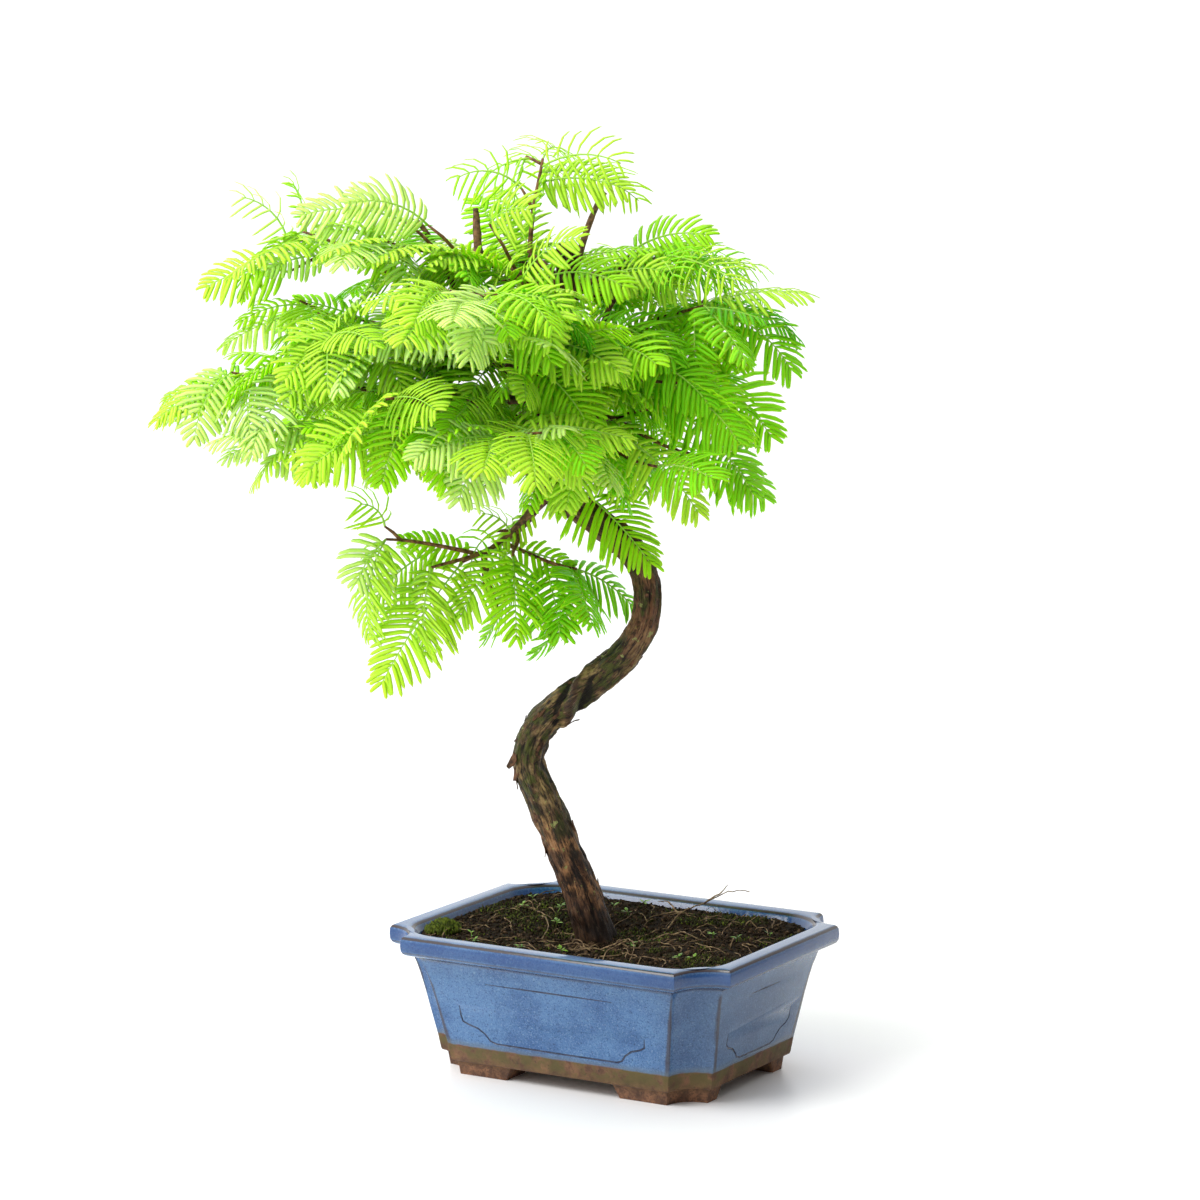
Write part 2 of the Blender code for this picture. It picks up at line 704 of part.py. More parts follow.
def fuse(name, pieces, home, finish):
    """One closed body from the pieces of a mass, by one union on their collection."""
    parts = collection(name + "_parts")
    body = add_object(name, pieces[0], home, finish)
    for number, piece in enumerate(pieces[1:]):
        add_object(f"{name}_part_{number}", piece, parts)
    union = body.modifiers.new("fused", "BOOLEAN")
    union.operation = "UNION"
    union.operand_type = "COLLECTION"
    union.collection = parts
    for solver, flat in UNION_WAYS:
        shape = joined(body, solver, flat)
        if sound(shape):
            break
    body.modifiers.clear()
    shape.to_mesh(body.data)
    solid = BVHTree.FromBMesh(shape)
    shape.free()
    for part in list(parts.objects):
        bpy.data.objects.remove(part, do_unlink=True)
    bpy.data.collections.remove(parts)
    return solid


def build():
    clear_scene()
    home = collection("dawn_redwood_bonsai")
    cutters = collection("cutters", hidden=True)
    bark = material("bark", (0.16, 0.09, 0.05), 0.85)
    leaves = material("needles", (0.28, 0.62, 0.05), 0.5)
    make_pot(home, cutters)
    make_soil(home)

    shape, centres, radii = make_trunk()
    carriers = {"trunk": {"name": "trunk", "centres": centres, "radii": radii, "shape": shape}}
    for name, height, bearing, reach, rise, radius in BOUGHS:
        carriers[name] = make_limb(name, carriers["trunk"], height, bearing, reach, rise, radius, BOUGH_TIP)
    for name, carrier, place, bearing, reach, rise, radius in BARE_TWIGS:
        tip = min(radius, STUB_TIP)
        carriers[name] = make_limb(name, carriers[carrier], place, bearing, reach, rise, radius, tip)
    solids = [BVHTree.FromBMesh(carrier["shape"]) for carrier in carriers.values()]
    stems = {
        name: limb_route(carriers[carrier], place, bearing, reach, rise, STEM_RADII, TWIG_SIDES)
        for name, carrier, place, bearing, reach, rise, _ in MASSES
    }
    for name, carrier in carriers.items():
        add_object(name, carrier["shape"], home, bark)
    for name, _, _, _, _, _, slope in MASSES:
        others = [stem for other, stem in stems.items() if other != name]
        pieces = grow_mass(name, stems[name], slope, others, solids)
        solids.append(fuse(name, pieces, home, leaves))


build()
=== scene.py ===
import math
import random

import bmesh
import bpy
import numpy as np
from mathutils import Euler, Matrix, Vector, noise


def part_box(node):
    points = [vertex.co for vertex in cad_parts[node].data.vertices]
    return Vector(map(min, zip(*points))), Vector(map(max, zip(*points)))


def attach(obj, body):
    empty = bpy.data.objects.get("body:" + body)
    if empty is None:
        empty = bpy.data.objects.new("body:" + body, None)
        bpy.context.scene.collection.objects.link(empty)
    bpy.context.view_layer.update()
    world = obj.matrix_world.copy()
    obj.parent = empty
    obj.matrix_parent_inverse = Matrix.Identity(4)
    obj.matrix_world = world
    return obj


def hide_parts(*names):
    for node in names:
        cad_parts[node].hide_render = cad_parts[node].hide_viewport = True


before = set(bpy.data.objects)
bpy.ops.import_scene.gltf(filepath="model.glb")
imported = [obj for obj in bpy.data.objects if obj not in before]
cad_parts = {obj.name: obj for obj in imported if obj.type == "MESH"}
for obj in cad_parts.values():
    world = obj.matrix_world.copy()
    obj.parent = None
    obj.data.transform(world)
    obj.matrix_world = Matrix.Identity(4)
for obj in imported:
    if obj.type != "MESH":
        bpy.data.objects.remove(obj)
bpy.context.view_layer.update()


# The camera stands level with the middle of the tree, a little to the right of the pot's long side.
# It has a long lens, as in a catalogue picture, and is rolled by less than a degree.
POT_CENTRE = Vector((0.0501, 0.0173, 0.0))
CAMERA_AZIMUTH = math.radians(31.88)
CAMERA_HEIGHT = math.radians(9.28)
CAMERA_ROLL = math.radians(-0.70)
CAMERA_DISTANCE = 2.2471
AIM_ACROSS = -0.00491
AIM_HEIGHT = 0.2399
back = Vector((
    math.sin(CAMERA_AZIMUTH) * math.cos(CAMERA_HEIGHT),
    -math.cos(CAMERA_AZIMUTH) * math.cos(CAMERA_HEIGHT),
    math.sin(CAMERA_HEIGHT),
))
level_right = Vector((math.cos(CAMERA_AZIMUTH), math.sin(CAMERA_AZIMUTH), 0.0))
level_up = back.cross(level_right)
right = level_right * math.cos(CAMERA_ROLL) + level_up * math.sin(CAMERA_ROLL)
up = level_up * math.cos(CAMERA_ROLL) - level_right * math.sin(CAMERA_ROLL)
aim = POT_CENTRE + right * AIM_ACROSS + Vector((0.0, 0.0, AIM_HEIGHT))
camera_data = bpy.data.cameras.new("camera")
camera_data.lens = 135.0
camera_data.sensor_width = 36.0
camera = bpy.data.objects.new("camera", camera_data)
bpy.context.scene.collection.objects.link(camera)
camera.matrix_world = Matrix((right, up, back)).transposed().to_4x4()
camera.location = aim + back * CAMERA_DISTANCE
bpy.context.scene.camera = camera


# The studio is a white paper table that reaches out of sight, under soft white light.
# A large lamp hangs over the left of the camera, and the room is dimmer on the right.
FLOOR_REACH = 40.0
bpy.ops.object.select_all(action="DESELECT")
bpy.ops.mesh.primitive_plane_add(size=2 * FLOOR_REACH, location=(0.0, 0.0, 0.0))
table = bpy.context.object
table.name = "white_table"
table_paint = bpy.data.materials.new("white_paper")
table_paint.use_nodes = True
paper = table_paint.node_tree.nodes["Principled BSDF"]
paper.inputs["Base Color"].default_value = (0.97, 0.97, 0.97, 1.0)
paper.inputs["Roughness"].default_value = 0.38
table.data.materials.append(table_paint)


class Wire:
    """A socket of the finish that is being made. Arithmetic on it adds Math nodes."""

    tree = None

    def __init__(self, socket):
        self.socket = socket

    @classmethod
    def node(cls, kind, settings=(), values=(), out=0):
        """Adds a node, sets it up, fills its inputs with values or links, and returns one output."""
        made = cls.tree.nodes.new("ShaderNode" + kind)
        for name, setting in dict(settings).items():
            if name == "stops":
                ramp = made.color_ramp
                while len(ramp.elements) < len(setting):
                    ramp.elements.new(0.5)
                for element, (place, colour) in zip(ramp.elements, setting):
                    element.position = place
                    element.color = (*colour, 1.0)
            else:
                setattr(made, name, setting)
        for name, value in dict(values).items():
            if isinstance(value, Wire):
                cls.tree.links.new(value.socket, made.inputs[name])
            else:
                made.inputs[name].default_value = value
        return cls(made.outputs[out])

    def maths(self, operation, first, second):
        return Wire.node("Math", {"operation": operation}, {0: first, 1: second})

    def __add__(self, other):
        return self.maths("ADD", self, other)

    __radd__ = __add__

    def __sub__(self, other):
        return self.maths("SUBTRACT", self, other)

    def __rsub__(self, other):
        return self.maths("SUBTRACT", other, self)

    def __mul__(self, other):
        return self.maths("MULTIPLY", self, other)

    __rmul__ = __mul__

    def __abs__(self):
        return Wire.node("Math", {"operation": "ABSOLUTE"}, {0: self})

    def least(self, other):
        return self.maths("MINIMUM", self, other)

    def most(self, other):
        return self.maths("MAXIMUM", self, other)

    def ramp(self, low, high):
        """0 below low, 1 above high, and smooth between."""
        spread = {"interpolation_type": "SMOOTHSTEP"}
        return Wire.node("MapRange", spread, {"Value": self, "From Min": low, "From Max": high})


WORLD_LIGHT = 1.13
BRIGHT_WAY = (-0.62, -0.30, 0.72)
BRIGHTER = 0.70
DIM_WAY = (0.90, -0.34, 0.27)
DIMMER = 1.12
LEAST_LIGHT = 0.15
LAMP_AIM = Vector((0.0, 0.0, 0.25))
world = bpy.data.worlds.new("studio")
world.use_nodes = True
Wire.tree = world.node_tree
sky = Wire.node("TexCoord")
bright = Wire.node("VectorMath", {"operation": "DOT_PRODUCT"}, {0: sky, 1: BRIGHT_WAY}, out=1).most(0.0)
dim = Wire.node("VectorMath", {"operation": "DOT_PRODUCT"}, {0: sky, 1: DIM_WAY}, out=1).most(0.0)
background = world.node_tree.nodes["Background"]
background.inputs["Color"].default_value = (1.0, 1.0, 1.0, 1.0)
strength = (WORLD_LIGHT + bright * BRIGHTER - dim * DIMMER).most(LEAST_LIGHT)
world.node_tree.links.new(strength.socket, background.inputs["Strength"])
bpy.context.scene.world = world


def soft_lamp(name, azimuth, height, distance, size, power):
    """A square lamp that looks at the tree from an azimuth and a height in degrees."""
    turn, lift = math.radians(azimuth), math.radians(height)
    way = Vector((math.sin(turn) * math.cos(lift), -math.cos(turn) * math.cos(lift), math.sin(lift)))
    lamp = bpy.data.lights.new(name, "AREA")
    lamp.size = size
    lamp.energy = power
    made = bpy.data.objects.new(name, lamp)
    bpy.context.scene.collection.objects.link(made)
    made.location = LAMP_AIM + way * distance
    made.rotation_euler = way.to_track_quat("Z", "Y").to_euler()
    return made


soft_lamp("key_lamp", -26, 48, 1.6, 0.9, 19)
bpy.context.scene.view_settings.view_transform = "Standard"


# The pot is one piece of stoneware, pressed in a mould, with hollow corners, a rolled lip and four feet.
# A thin line is incised on each side. It is dipped in a mid blue glaze that breaks brown on its edges,
# and a band of bare brown clay shows below.
RIM = Vector((0.200, 0.149))
HOLLOW_CORNER = 0.020
HOLLOW_PROFILE = 0.086
LINING_CORNER = 0.028
CORNER_STEPS = 12
OUTER_WALL = (
    (0.0740, 0.0036),
    (0.0738, 0.0020),
    (0.0731, 0.0009),
    (0.0718, 0.0002),
    (0.0690, 0.0000),
    (0.0664, 0.0002),
    (0.0648, 0.0010),
    (0.0637, 0.0026),
    (0.0630, 0.0052),
    (0.0622, 0.0074),
    (0.0606, 0.0086),
    (0.0575, 0.0096),
    (0.0540, 0.0108),
    (0.0480, 0.0124),
    (0.0400, 0.0142),
    (0.0280, 0.0166),
    (0.0163, 0.0190),
    (0.0090, 0.0202),
    (0.0078, 0.0207),
    (0.0072, 0.0222),
    (0.0066, 0.0231),
    (0.0000, 0.0240),
)
LINING = (
    (0.0740, 0.0072),
    (0.0738, 0.0086),
    (0.0731, 0.0098),
    (0.0718, 0.0108),
    (0.0690, 0.0120),
    (0.0625, 0.0162),
    (0.0400, 0.0220),
    (0.0150, 0.0270),
)
FOOT_HEIGHT = 0.0069
FOOT_SLOPE = 0.007
FOOT_WALL = 0.018
FOOT_GAPS = (0.060, 0.049)
PAST_WIDTH = 0.3
PAST_DEPTH = 0.2
SOFT_EDGE = 0.0006
LINE_WIDTH = 0.0011
LINE_DEPTH_OUT = 0.00015


def resized(levels_inset, from_inset):
    """How much a level of the wall is wider or narrower than another, across X and Y."""
    return tuple((side - 2 * levels_inset) / (side - 2 * from_inset) for side in RIM) + (1.0,)


def take_alone(piece):
    """Selects one piece alone and makes it the active one."""
    bpy.ops.object.select_all(action="DESELECT")
    piece.select_set(True)
    bpy.context.view_layer.objects.active = piece


def select_faces(piece, test):
    shape = bmesh.from_edit_mesh(piece.data)
    bpy.ops.mesh.select_all(action="DESELECT")
    for face in shape.faces:
        if test(face):
            face.select_set(True)
    bmesh.update_edit_mesh(piece.data)


def pressed_wall(name, levels, corner, profile):
    """A block as wide as the rim with shaped corners, drawn down through levels of height and inset."""
    (top, top_inset), (low, low_inset) = levels[0], levels[1]
    bpy.ops.object.select_all(action="DESELECT")
    bpy.ops.mesh.primitive_cube_add(size=1.0, location=(0.0, 0.0, (top + low) / 2))
    made = bpy.context.object
    made.name = name
    made.scale = (RIM.x, RIM.y, top - low)
    bpy.ops.object.transform_apply(location=True, scale=True)
    bpy.ops.object.mode_set(mode="EDIT")
    shape = bmesh.from_edit_mesh(made.data)
    bpy.ops.mesh.select_all(action="DESELECT")
    bpy.ops.mesh.select_mode(type="EDGE")
    for edge in shape.edges:
        edge.select_set(abs(edge.verts[0].co.z - edge.verts[1].co.z) > (top - low) / 2)
    bmesh.update_edit_mesh(made.data)
    bpy.ops.mesh.bevel(offset=corner, segments=CORNER_STEPS, profile=profile, affect="EDGES")
    bpy.ops.mesh.select_mode(type="FACE")
    middle = (0.0, 0.0, 0.0)
    select_faces(made, lambda face: face.normal.z > 0.9)
    bpy.ops.transform.resize(value=resized(top_inset, 0.0), center_override=middle)
    select_faces(made, lambda face: face.normal.z < -0.9)
    bpy.ops.transform.resize(value=resized(low_inset, 0.0), center_override=middle)
    for (above, wide), (below, narrow) in zip(levels[1:], levels[2:]):
        bpy.ops.mesh.extrude_region_move(TRANSFORM_OT_translate={"value": (0.0, 0.0, below - above)})
        bpy.ops.transform.resize(value=resized(narrow, wide), center_override=middle)
    select_faces(made, lambda face: face.normal.z > 0.9 and face.calc_center_median().z > top - 0.00005)
    bpy.ops.mesh.delete(type="ONLY_FACE")
    bpy.ops.object.mode_set(mode="OBJECT")
    return made


def foot_cutter(size, slope):
    """A wedge that is narrower at the top, to cut the gap between two feet."""
    bpy.ops.object.select_all(action="DESELECT")
    bpy.ops.mesh.primitive_cube_add(size=1.0)
    made = bpy.context.object
    made.scale = (size[0], size[1], 2 * FOOT_HEIGHT)
    bpy.ops.object.transform_apply(location=True, scale=True)
    bpy.ops.object.mode_set(mode="EDIT")
    select_faces(made, lambda face: face.normal.z < -0.9)
    wider = [(width + 2 * more) / width for width, more in zip(size, slope)]
    bpy.ops.transform.resize(value=(*wider, 1.0), center_override=(0.0, 0.0, 0.0))
    bpy.ops.object.mode_set(mode="OBJECT")
    return made


def carved(piece, cutter, finishes="INDEX"):
    """Takes the cutter out of the piece, and removes the cutter."""
    bpy.context.view_layer.objects.active = piece
    cut = piece.modifiers.new("cut", "BOOLEAN")
    cut.operation = "DIFFERENCE"
    cut.solver = "EXACT"
    cut.material_mode = finishes
    cut.object = cutter
    bpy.ops.object.modifier_apply(modifier=cut.name)
    bpy.data.objects.remove(cutter)


outer_wall = pressed_wall("glazed_pot", OUTER_WALL, HOLLOW_CORNER, HOLLOW_PROFILE)
lining = pressed_wall("lining", LINING, LINING_CORNER, 0.5)
lining.data.flip_normals()
bpy.ops.object.select_all(action="DESELECT")
lining.select_set(True)
outer_wall.select_set(True)
bpy.context.view_layer.objects.active = outer_wall
bpy.ops.object.join()
pot = outer_wall
bpy.ops.object.mode_set(mode="EDIT")
bpy.ops.mesh.select_mode(type="EDGE")
bpy.ops.mesh.select_all(action="DESELECT")
bpy.ops.mesh.select_non_manifold()
bpy.ops.mesh.bridge_edge_loops()
bpy.ops.mesh.select_all(action="SELECT")
bpy.ops.mesh.normals_make_consistent(inside=False)
bpy.ops.object.mode_set(mode="OBJECT")
long_gap, short_gap = FOOT_GAPS
carved(pot, foot_cutter((long_gap, PAST_DEPTH), (FOOT_SLOPE, 0.0)))
carved(pot, foot_cutter((PAST_WIDTH, short_gap), (0.0, FOOT_SLOPE)))
foot_inset = OUTER_WALL[-1][1] + FOOT_WALL
carved(pot, foot_cutter((RIM.x - 2 * foot_inset, RIM.y - 2 * foot_inset), (0.001, 0.001)))
bpy.context.view_layer.objects.active = pot
softened = pot.modifiers.new("softened", "BEVEL")
softened.width = SOFT_EDGE
softened.segments = 3
softened.limit_method = "ANGLE"
softened.angle_limit = math.radians(38)
bpy.ops.object.modifier_apply(modifier=softened.name)

# The incised lines of a side, each as (across, height) of the points along it.
LONG_SIDE_LINES = (
    ((-0.0366, 0.0520), (0.0, 0.0520), (0.0374, 0.0520)),
    ((-0.0545, 0.0385), (-0.0543, 0.0335), (-0.0535, 0.0300), (-0.0500, 0.0285), (-0.0450, 0.0272),
     (-0.0410, 0.0245), (-0.0385, 0.0212), (-0.0350, 0.0200), (0.0, 0.0198), (0.0360, 0.0199),
     (0.0388, 0.0210), (0.0410, 0.0240), (0.0450, 0.0268), (0.0500, 0.0282), (0.0528, 0.0298),
     (0.0534, 0.0345)),
)
SHORT_SIDE_LINES = (
    ((-0.0140, 0.0520), (0.0, 0.0520), (0.0140, 0.0520)),
    ((-0.0312, 0.0350), (-0.0310, 0.0290), (-0.0285, 0.0268), (-0.0240, 0.0255), (-0.0205, 0.0225),
     (-0.0185, 0.0200), (-0.0150, 0.0190), (0.0, 0.0188), (0.0150, 0.0190), (0.0185, 0.0200),
     (0.0205, 0.0225), (0.0240, 0.0255), (0.0285, 0.0268), (0.0310, 0.0290), (0.0312, 0.0350)),
)


def wall_inset(height):
    """The inset of the outer wall at a height."""
    heights, insets = zip(*reversed(OUTER_WALL))
    return float(np.interp(height, heights, insets))


def incised_line(points, side, made_of):
    """A thin closed cord along a line on a side of the pot, thinner at its ends, to carve the line with."""
    data = bpy.data.curves.new("line", "CURVE")
    data.dimensions = "3D"
    data.bevel_depth = LINE_WIDTH / 2
    data.bevel_resolution = 2
    data.use_fill_caps = True
    run = data.splines.new("POLY")
    run.points.add(len(points) - 1)
    for index, (across, height) in enumerate(points):
        out = (RIM.y if side % 2 == 0 else RIM.x) / 2 - wall_inset(height) + LINE_DEPTH_OUT
        spot = Vector((across, -out, height))
        spot.rotate(Euler((0.0, 0.0, math.radians(90 * side))))
        run.points[index].co = (*spot, 1.0)
        run.points[index].radius = 0.45 if index in (0, len(points) - 1) else 1.0
    made = bpy.data.objects.new("line", data)
    bpy.context.scene.collection.objects.link(made)
    take_alone(made)
    bpy.ops.object.convert(target="MESH")
    bpy.ops.object.mode_set(mode="EDIT")
    bpy.ops.mesh.select_all(action="SELECT")
    bpy.ops.mesh.remove_doubles(threshold=0.00001)
    bpy.ops.mesh.normals_make_consistent(inside=False)
    bpy.ops.object.mode_set(mode="OBJECT")
    made.data.materials.clear()
    made.data.materials.append(made_of)
    return made


def finish(name):
    """A new material, whose nodes the next calls add to, and its shader."""
    made = bpy.data.materials.new(name)
    made.use_nodes = True
    Wire.tree = made.node_tree
    return made, made.node_tree.nodes["Principled BSDF"]


def feed(shader, socket, wire):
    Wire.tree.links.new(wire.socket, shader.inputs[socket])


def mixed(mask, first, second):
    """The first colour where the mask is 0 and the second where it is 1."""
    colours = [(*c, 1.0) if isinstance(c, tuple) else c for c in (first, second)]
    return Wire.node("Mix", {"data_type": "RGBA"}, {0: mask, 6: colours[0], 7: colours[1]}, out=2)


def grain(place, scale, detail=3.0, roughness=0.5):
    """Cloudy noise from 0 to 1 on a place, with scale in bumps a metre."""
    values = {"Vector": place, "Scale": scale, "Detail": detail, "Roughness": roughness}
    return Wire.node("TexNoise", {}, values)


def bumped(height, strength, distance):
    return Wire.node("Bump", {}, {"Height": height, "Strength": strength, "Distance": distance})


def object_place(centre=(0.0, 0.0, 0.0)):
    """The place on a piece, counted from a centre."""
    place = Wire.node("TexCoord", out=3)
    return Wire.node("VectorMath", {"operation": "SUBTRACT"}, {0: place, 1: tuple(centre)})


def parts_of(place):
    """The x, y and z of a place."""
    split = Wire.node("SeparateXYZ", {}, {0: place}).socket.node
    return [Wire(output) for output in split.outputs]


def level_distance(across, back):
    """The distance on the level from where both are zero."""
    joined = Wire.node("CombineXYZ", {}, {0: across, 1: back})
    return Wire.node("VectorMath", {"operation": "LENGTH"}, {0: joined}, out=1)


def mottled(name, cloud, ramp, tones, rough, specular=0.5, bump=None, centre=(0.0, 0.0, 0.0)):
    """A finish whose two tones, roughness (least, more) and relief all follow one noise."""
    made, shader = finish(name)
    tone = grain(object_place(centre), *cloud)
    feed(shader, "Base Color", mixed(tone.ramp(*ramp), *tones))
    feed(shader, "Roughness", rough[0] + tone * rough[1])
    if bump:
        feed(shader, "Normal", bumped(tone, *bump))
    shader.inputs["Specular IOR Level"].default_value = specular
    return made


glaze, shader = finish("blue_glaze")
place = object_place(POT_CENTRE)
x, y, z = parts_of(place)
GREY_SCALE = 10.0
HOLLOW_REACH = 0.86
WALL_LEVELS = (21, 18, 16, 14, 13, 11, 9, 7, 4)
wall_stops = [
    (height / OUTER_WALL[0][0], ((RIM.x / 2 - inset) * GREY_SCALE,) * 3)
    for height, inset in (OUTER_WALL[level] for level in WALL_LEVELS)
]
half_width = Wire.node("ValToRGB", {"stops": wall_stops}, {0: z * (1 / OUTER_WALL[0][0])}) * (1 / GREY_SCALE)
half_depth = half_width - (RIM.x - RIM.y) / 2
hollow = HOLLOW_CORNER * HOLLOW_REACH
long_arris = level_distance(abs(x) - (half_width - hollow), abs(y) - half_depth)
short_arris = level_distance(abs(x) - half_width, abs(y) - (half_depth - hollow))
arris = long_arris.least(short_arris)
clouds = grain(place, 30.0, 5.0, 0.68)
waver = grain(place, 120.0, 3.0, 0.6)
specks = grain(place, 1150.0, 3.0, 0.8)
freckles = grain(place, 420.0, 2.0, 0.6)
body_blue = mixed(clouds.ramp(0.38, 0.62), (0.028, 0.096, 0.252), (0.068, 0.168, 0.350))
light_specks = mixed(specks.ramp(0.54, 0.68), body_blue, (0.13, 0.235, 0.40))
speckled = mixed(specks.ramp(0.47, 0.33), light_specks, (0.012, 0.040, 0.125))
speckled = mixed(freckles.ramp(0.66, 0.72) * 0.35, speckled, (0.20, 0.31, 0.47))
# Painted shade: the right end of the pot is painted a greyer blue, for the dimmer light on that side.
painted_shade_right_end = x.ramp(0.050, 0.092)
speckled = mixed(painted_shade_right_end * 0.45, speckled, (0.066, 0.092, 0.128))
deep_band = z.ramp(0.0650, 0.0672) * z.ramp(0.0726, 0.0708)
speckled = mixed(deep_band * 0.70, speckled, (0.008, 0.044, 0.165))
# Painted light: the flat top of the rim is painted a paler blue, for the bright light it reflects from above.
painted_light_rim_top = z.ramp(0.0732, 0.0738)
speckled = mixed(painted_light_rim_top * 0.45, speckled, (0.16, 0.22, 0.35))
ragged = (waver - 0.5) * 0.0014
# The glaze breaks dark brown where it runs thin on the arrises of the corners and on the upper and lower
# edges of the lip. The band under the lip gets the same dark brown as painted shade under the lip.
thin_arris = (arris + ragged).ramp(0.0019, 0.0006) * z.ramp(0.062, 0.056)
thin_lip = abs(z + ragged * 0.25 - 0.0729).ramp(0.00085, 0.00035)
painted_shade_under_lip = z.ramp(0.0600, 0.0618) * z.ramp(0.0640, 0.0630)
low_lip = abs(z + ragged * 0.3 - 0.0653).ramp(0.0008, 0.0003)
thin_glaze_and_painted_shade = (thin_arris * 0.76).most(thin_lip * 0.96).most(painted_shade_under_lip * 0.60).most(low_lip * 0.5)
broken_glaze_and_painted_shade = mixed(thin_glaze_and_painted_shade, speckled, (0.032, 0.019, 0.018))
glaze_line = (z + ragged * 0.8).ramp(0.0172, 0.0160)
last_glaze = (z + ragged * 1.6).ramp(0.0205, 0.0168) * (1 - glaze_line)
broken_glaze_and_painted_shade = mixed(last_glaze * 0.55, broken_glaze_and_painted_shade, (0.10, 0.13, 0.15))
clay_mottle = grain(place, 150.0, 6.0, 0.68)
clay_spots = grain(place, 520.0, 3.0, 0.6)
clay = mixed(clay_mottle.ramp(0.33, 0.68), (0.085, 0.038, 0.019), (0.270, 0.125, 0.060))
clay = mixed(clay_spots.ramp(0.60, 0.70) * 0.7, clay, (0.045, 0.026, 0.016))
algae = (waver * 0.5 + clay_mottle * 0.5).ramp(0.40, 0.54) * z.ramp(0.0030, 0.0130)
clay = mixed(algae * 0.85, clay, (0.080, 0.068, 0.016))
damp = clay_spots.ramp(0.52, 0.40) * z.ramp(0.0130, 0.0040)
clay = mixed(damp * 0.6, clay, (0.050, 0.024, 0.014))
feed(shader, "Base Color", mixed(glaze_line, broken_glaze_and_painted_shade, clay))
feed(shader, "Roughness", 0.08 + glaze_line * 0.66 + clouds * 0.08 + thin_glaze_and_painted_shade * 0.10)
surface = specks * (1 - glaze_line) * 0.06 + waver * (1 - glaze_line) * 0.9
feed(shader, "Normal", bumped(surface + (clay_mottle + clay_spots) * glaze_line, 0.35, 0.0005))
pooled_tones = ((0.010, 0.018, 0.050), (0.045, 0.062, 0.115))
pooled = mottled("pooled_glaze", (260.0, 3.0, 0.6), (0.35, 0.65), pooled_tones, (0.2, 0.1), centre=POT_CENTRE)
pot.data.materials.clear()
pot.data.materials.append(glaze)
pot.data.materials.append(pooled)
for side in range(4):
    for points in (SHORT_SIDE_LINES if side % 2 else LONG_SIDE_LINES):
        carved(pot, incised_line(points, side, pooled), "TRANSFER")
pot.data.transform(Matrix.Translation(POT_CENTRE))
take_alone(pot)
bpy.ops.object.shade_smooth_by_angle(angle=math.radians(42))
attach(pot, "root")
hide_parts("pot")


# The soil is dark, damp potting mix, heaped a little at the trunk's foot and banked up towards the walls.
# Crumbs and bits of bark lie on it.
SOIL_TOP = 0.063
SOIL_LIFT = 0.0006
SOIL_CELL = 0.001
SOIL_INSET = 0.0128
SOIL_CORNER = 0.029
SOIL_FLOOR = 0.016
TREE_FOOT = Vector((-0.004, -0.007, 0.0))
TREE_TURN = math.radians(31.9)
HEAP_HEIGHT = 0.0058
HEAP_WIDTH = 0.0145
BANK_HEIGHT = 0.0070
BANK_FROM = 0.010
BANK_TO = 0.046
EDGE_SINK = 0.0010
EDGE_WIDTH = 0.006
EDGE_OVERLAP = 0.0014
GRID_MARGIN = 0.004
SOIL_LUMPS = 0.0016


def soil_edge_distance(x, y):
    """How far a level spot lies inside the soil's rounded outline, about the pot's middle."""
    half_x, half_y = RIM.x / 2 - SOIL_INSET - SOIL_CORNER, RIM.y / 2 - SOIL_INSET - SOIL_CORNER
    over = Vector((max(abs(x) - half_x, 0.0), max(abs(y) - half_y, 0.0)))
    if over.length > 0:
        return SOIL_CORNER - over.length
    return SOIL_CORNER + min(half_x - abs(x), half_y - abs(y))


def soil_height(x, y):
    """The height of the soil's uneven top at a spot about the pot's middle."""
    edge = math.exp(-max(soil_edge_distance(x, y), 0.0) / EDGE_WIDTH)
    foot = (Vector((x, y)) - TREE_FOOT.xy).length
    climb = min(max((foot - BANK_FROM) / (BANK_TO - BANK_FROM), 0.0), 1.0)
    heap = HEAP_HEIGHT * math.exp(-((foot / HEAP_WIDTH) ** 2)) + BANK_HEIGHT * climb * climb * (3 - 2 * climb)
    spot = Vector((x, y, 0.0))
    lumps = noise.fractal(spot * 75, 0.8, 2.1, 3) * 0.55 + noise.fractal(spot * 420, 0.9, 2.0, 3) * 0.40
    return SOIL_TOP + SOIL_LIFT + heap - edge * EDGE_SINK + lumps * SOIL_LUMPS


across = RIM.x - 2 * SOIL_INSET + GRID_MARGIN
deep = RIM.y - 2 * SOIL_INSET + GRID_MARGIN
bpy.ops.object.select_all(action="DESELECT")
bpy.ops.mesh.primitive_grid_add(
    x_subdivisions=round(across / SOIL_CELL),
    y_subdivisions=round(deep / SOIL_CELL),
    size=1.0,
)
soil = bpy.context.object
soil.name = "potting_soil"
soil.scale = (across, deep, 1.0)
bpy.ops.object.transform_apply(scale=True)
bpy.ops.object.mode_set(mode="EDIT")
bpy.ops.mesh.select_mode(type="FACE")
select_faces(soil, lambda face: soil_edge_distance(*face.calc_center_median().xy) < -EDGE_OVERLAP)
bpy.ops.mesh.delete(type="FACE")
bpy.ops.mesh.select_all(action="SELECT")
bpy.ops.mesh.region_to_loop()
bpy.ops.object.mode_set(mode="OBJECT")
for corner in soil.data.vertices:
    corner.co.z = soil_height(corner.co.x, corner.co.y)
bpy.ops.object.mode_set(mode="EDIT")
for drop, shrink in ((-0.007, 0.965), (SOIL_FLOOR - SOIL_TOP + 0.006, 0.80)):
    bpy.ops.mesh.extrude_region_move(TRANSFORM_OT_translate={"value": (0.0, 0.0, drop)})
    bpy.ops.transform.resize(value=(shrink, shrink, 1.0), center_override=(0.0, 0.0, 0.0))
bpy.ops.mesh.edge_face_add()
bpy.ops.mesh.select_all(action="SELECT")
bpy.ops.mesh.normals_make_consistent(inside=False)
bpy.ops.object.mode_set(mode="OBJECT")
soil.data.transform(Matrix.Translation(POT_CENTRE))
soil.data.shade_smooth()

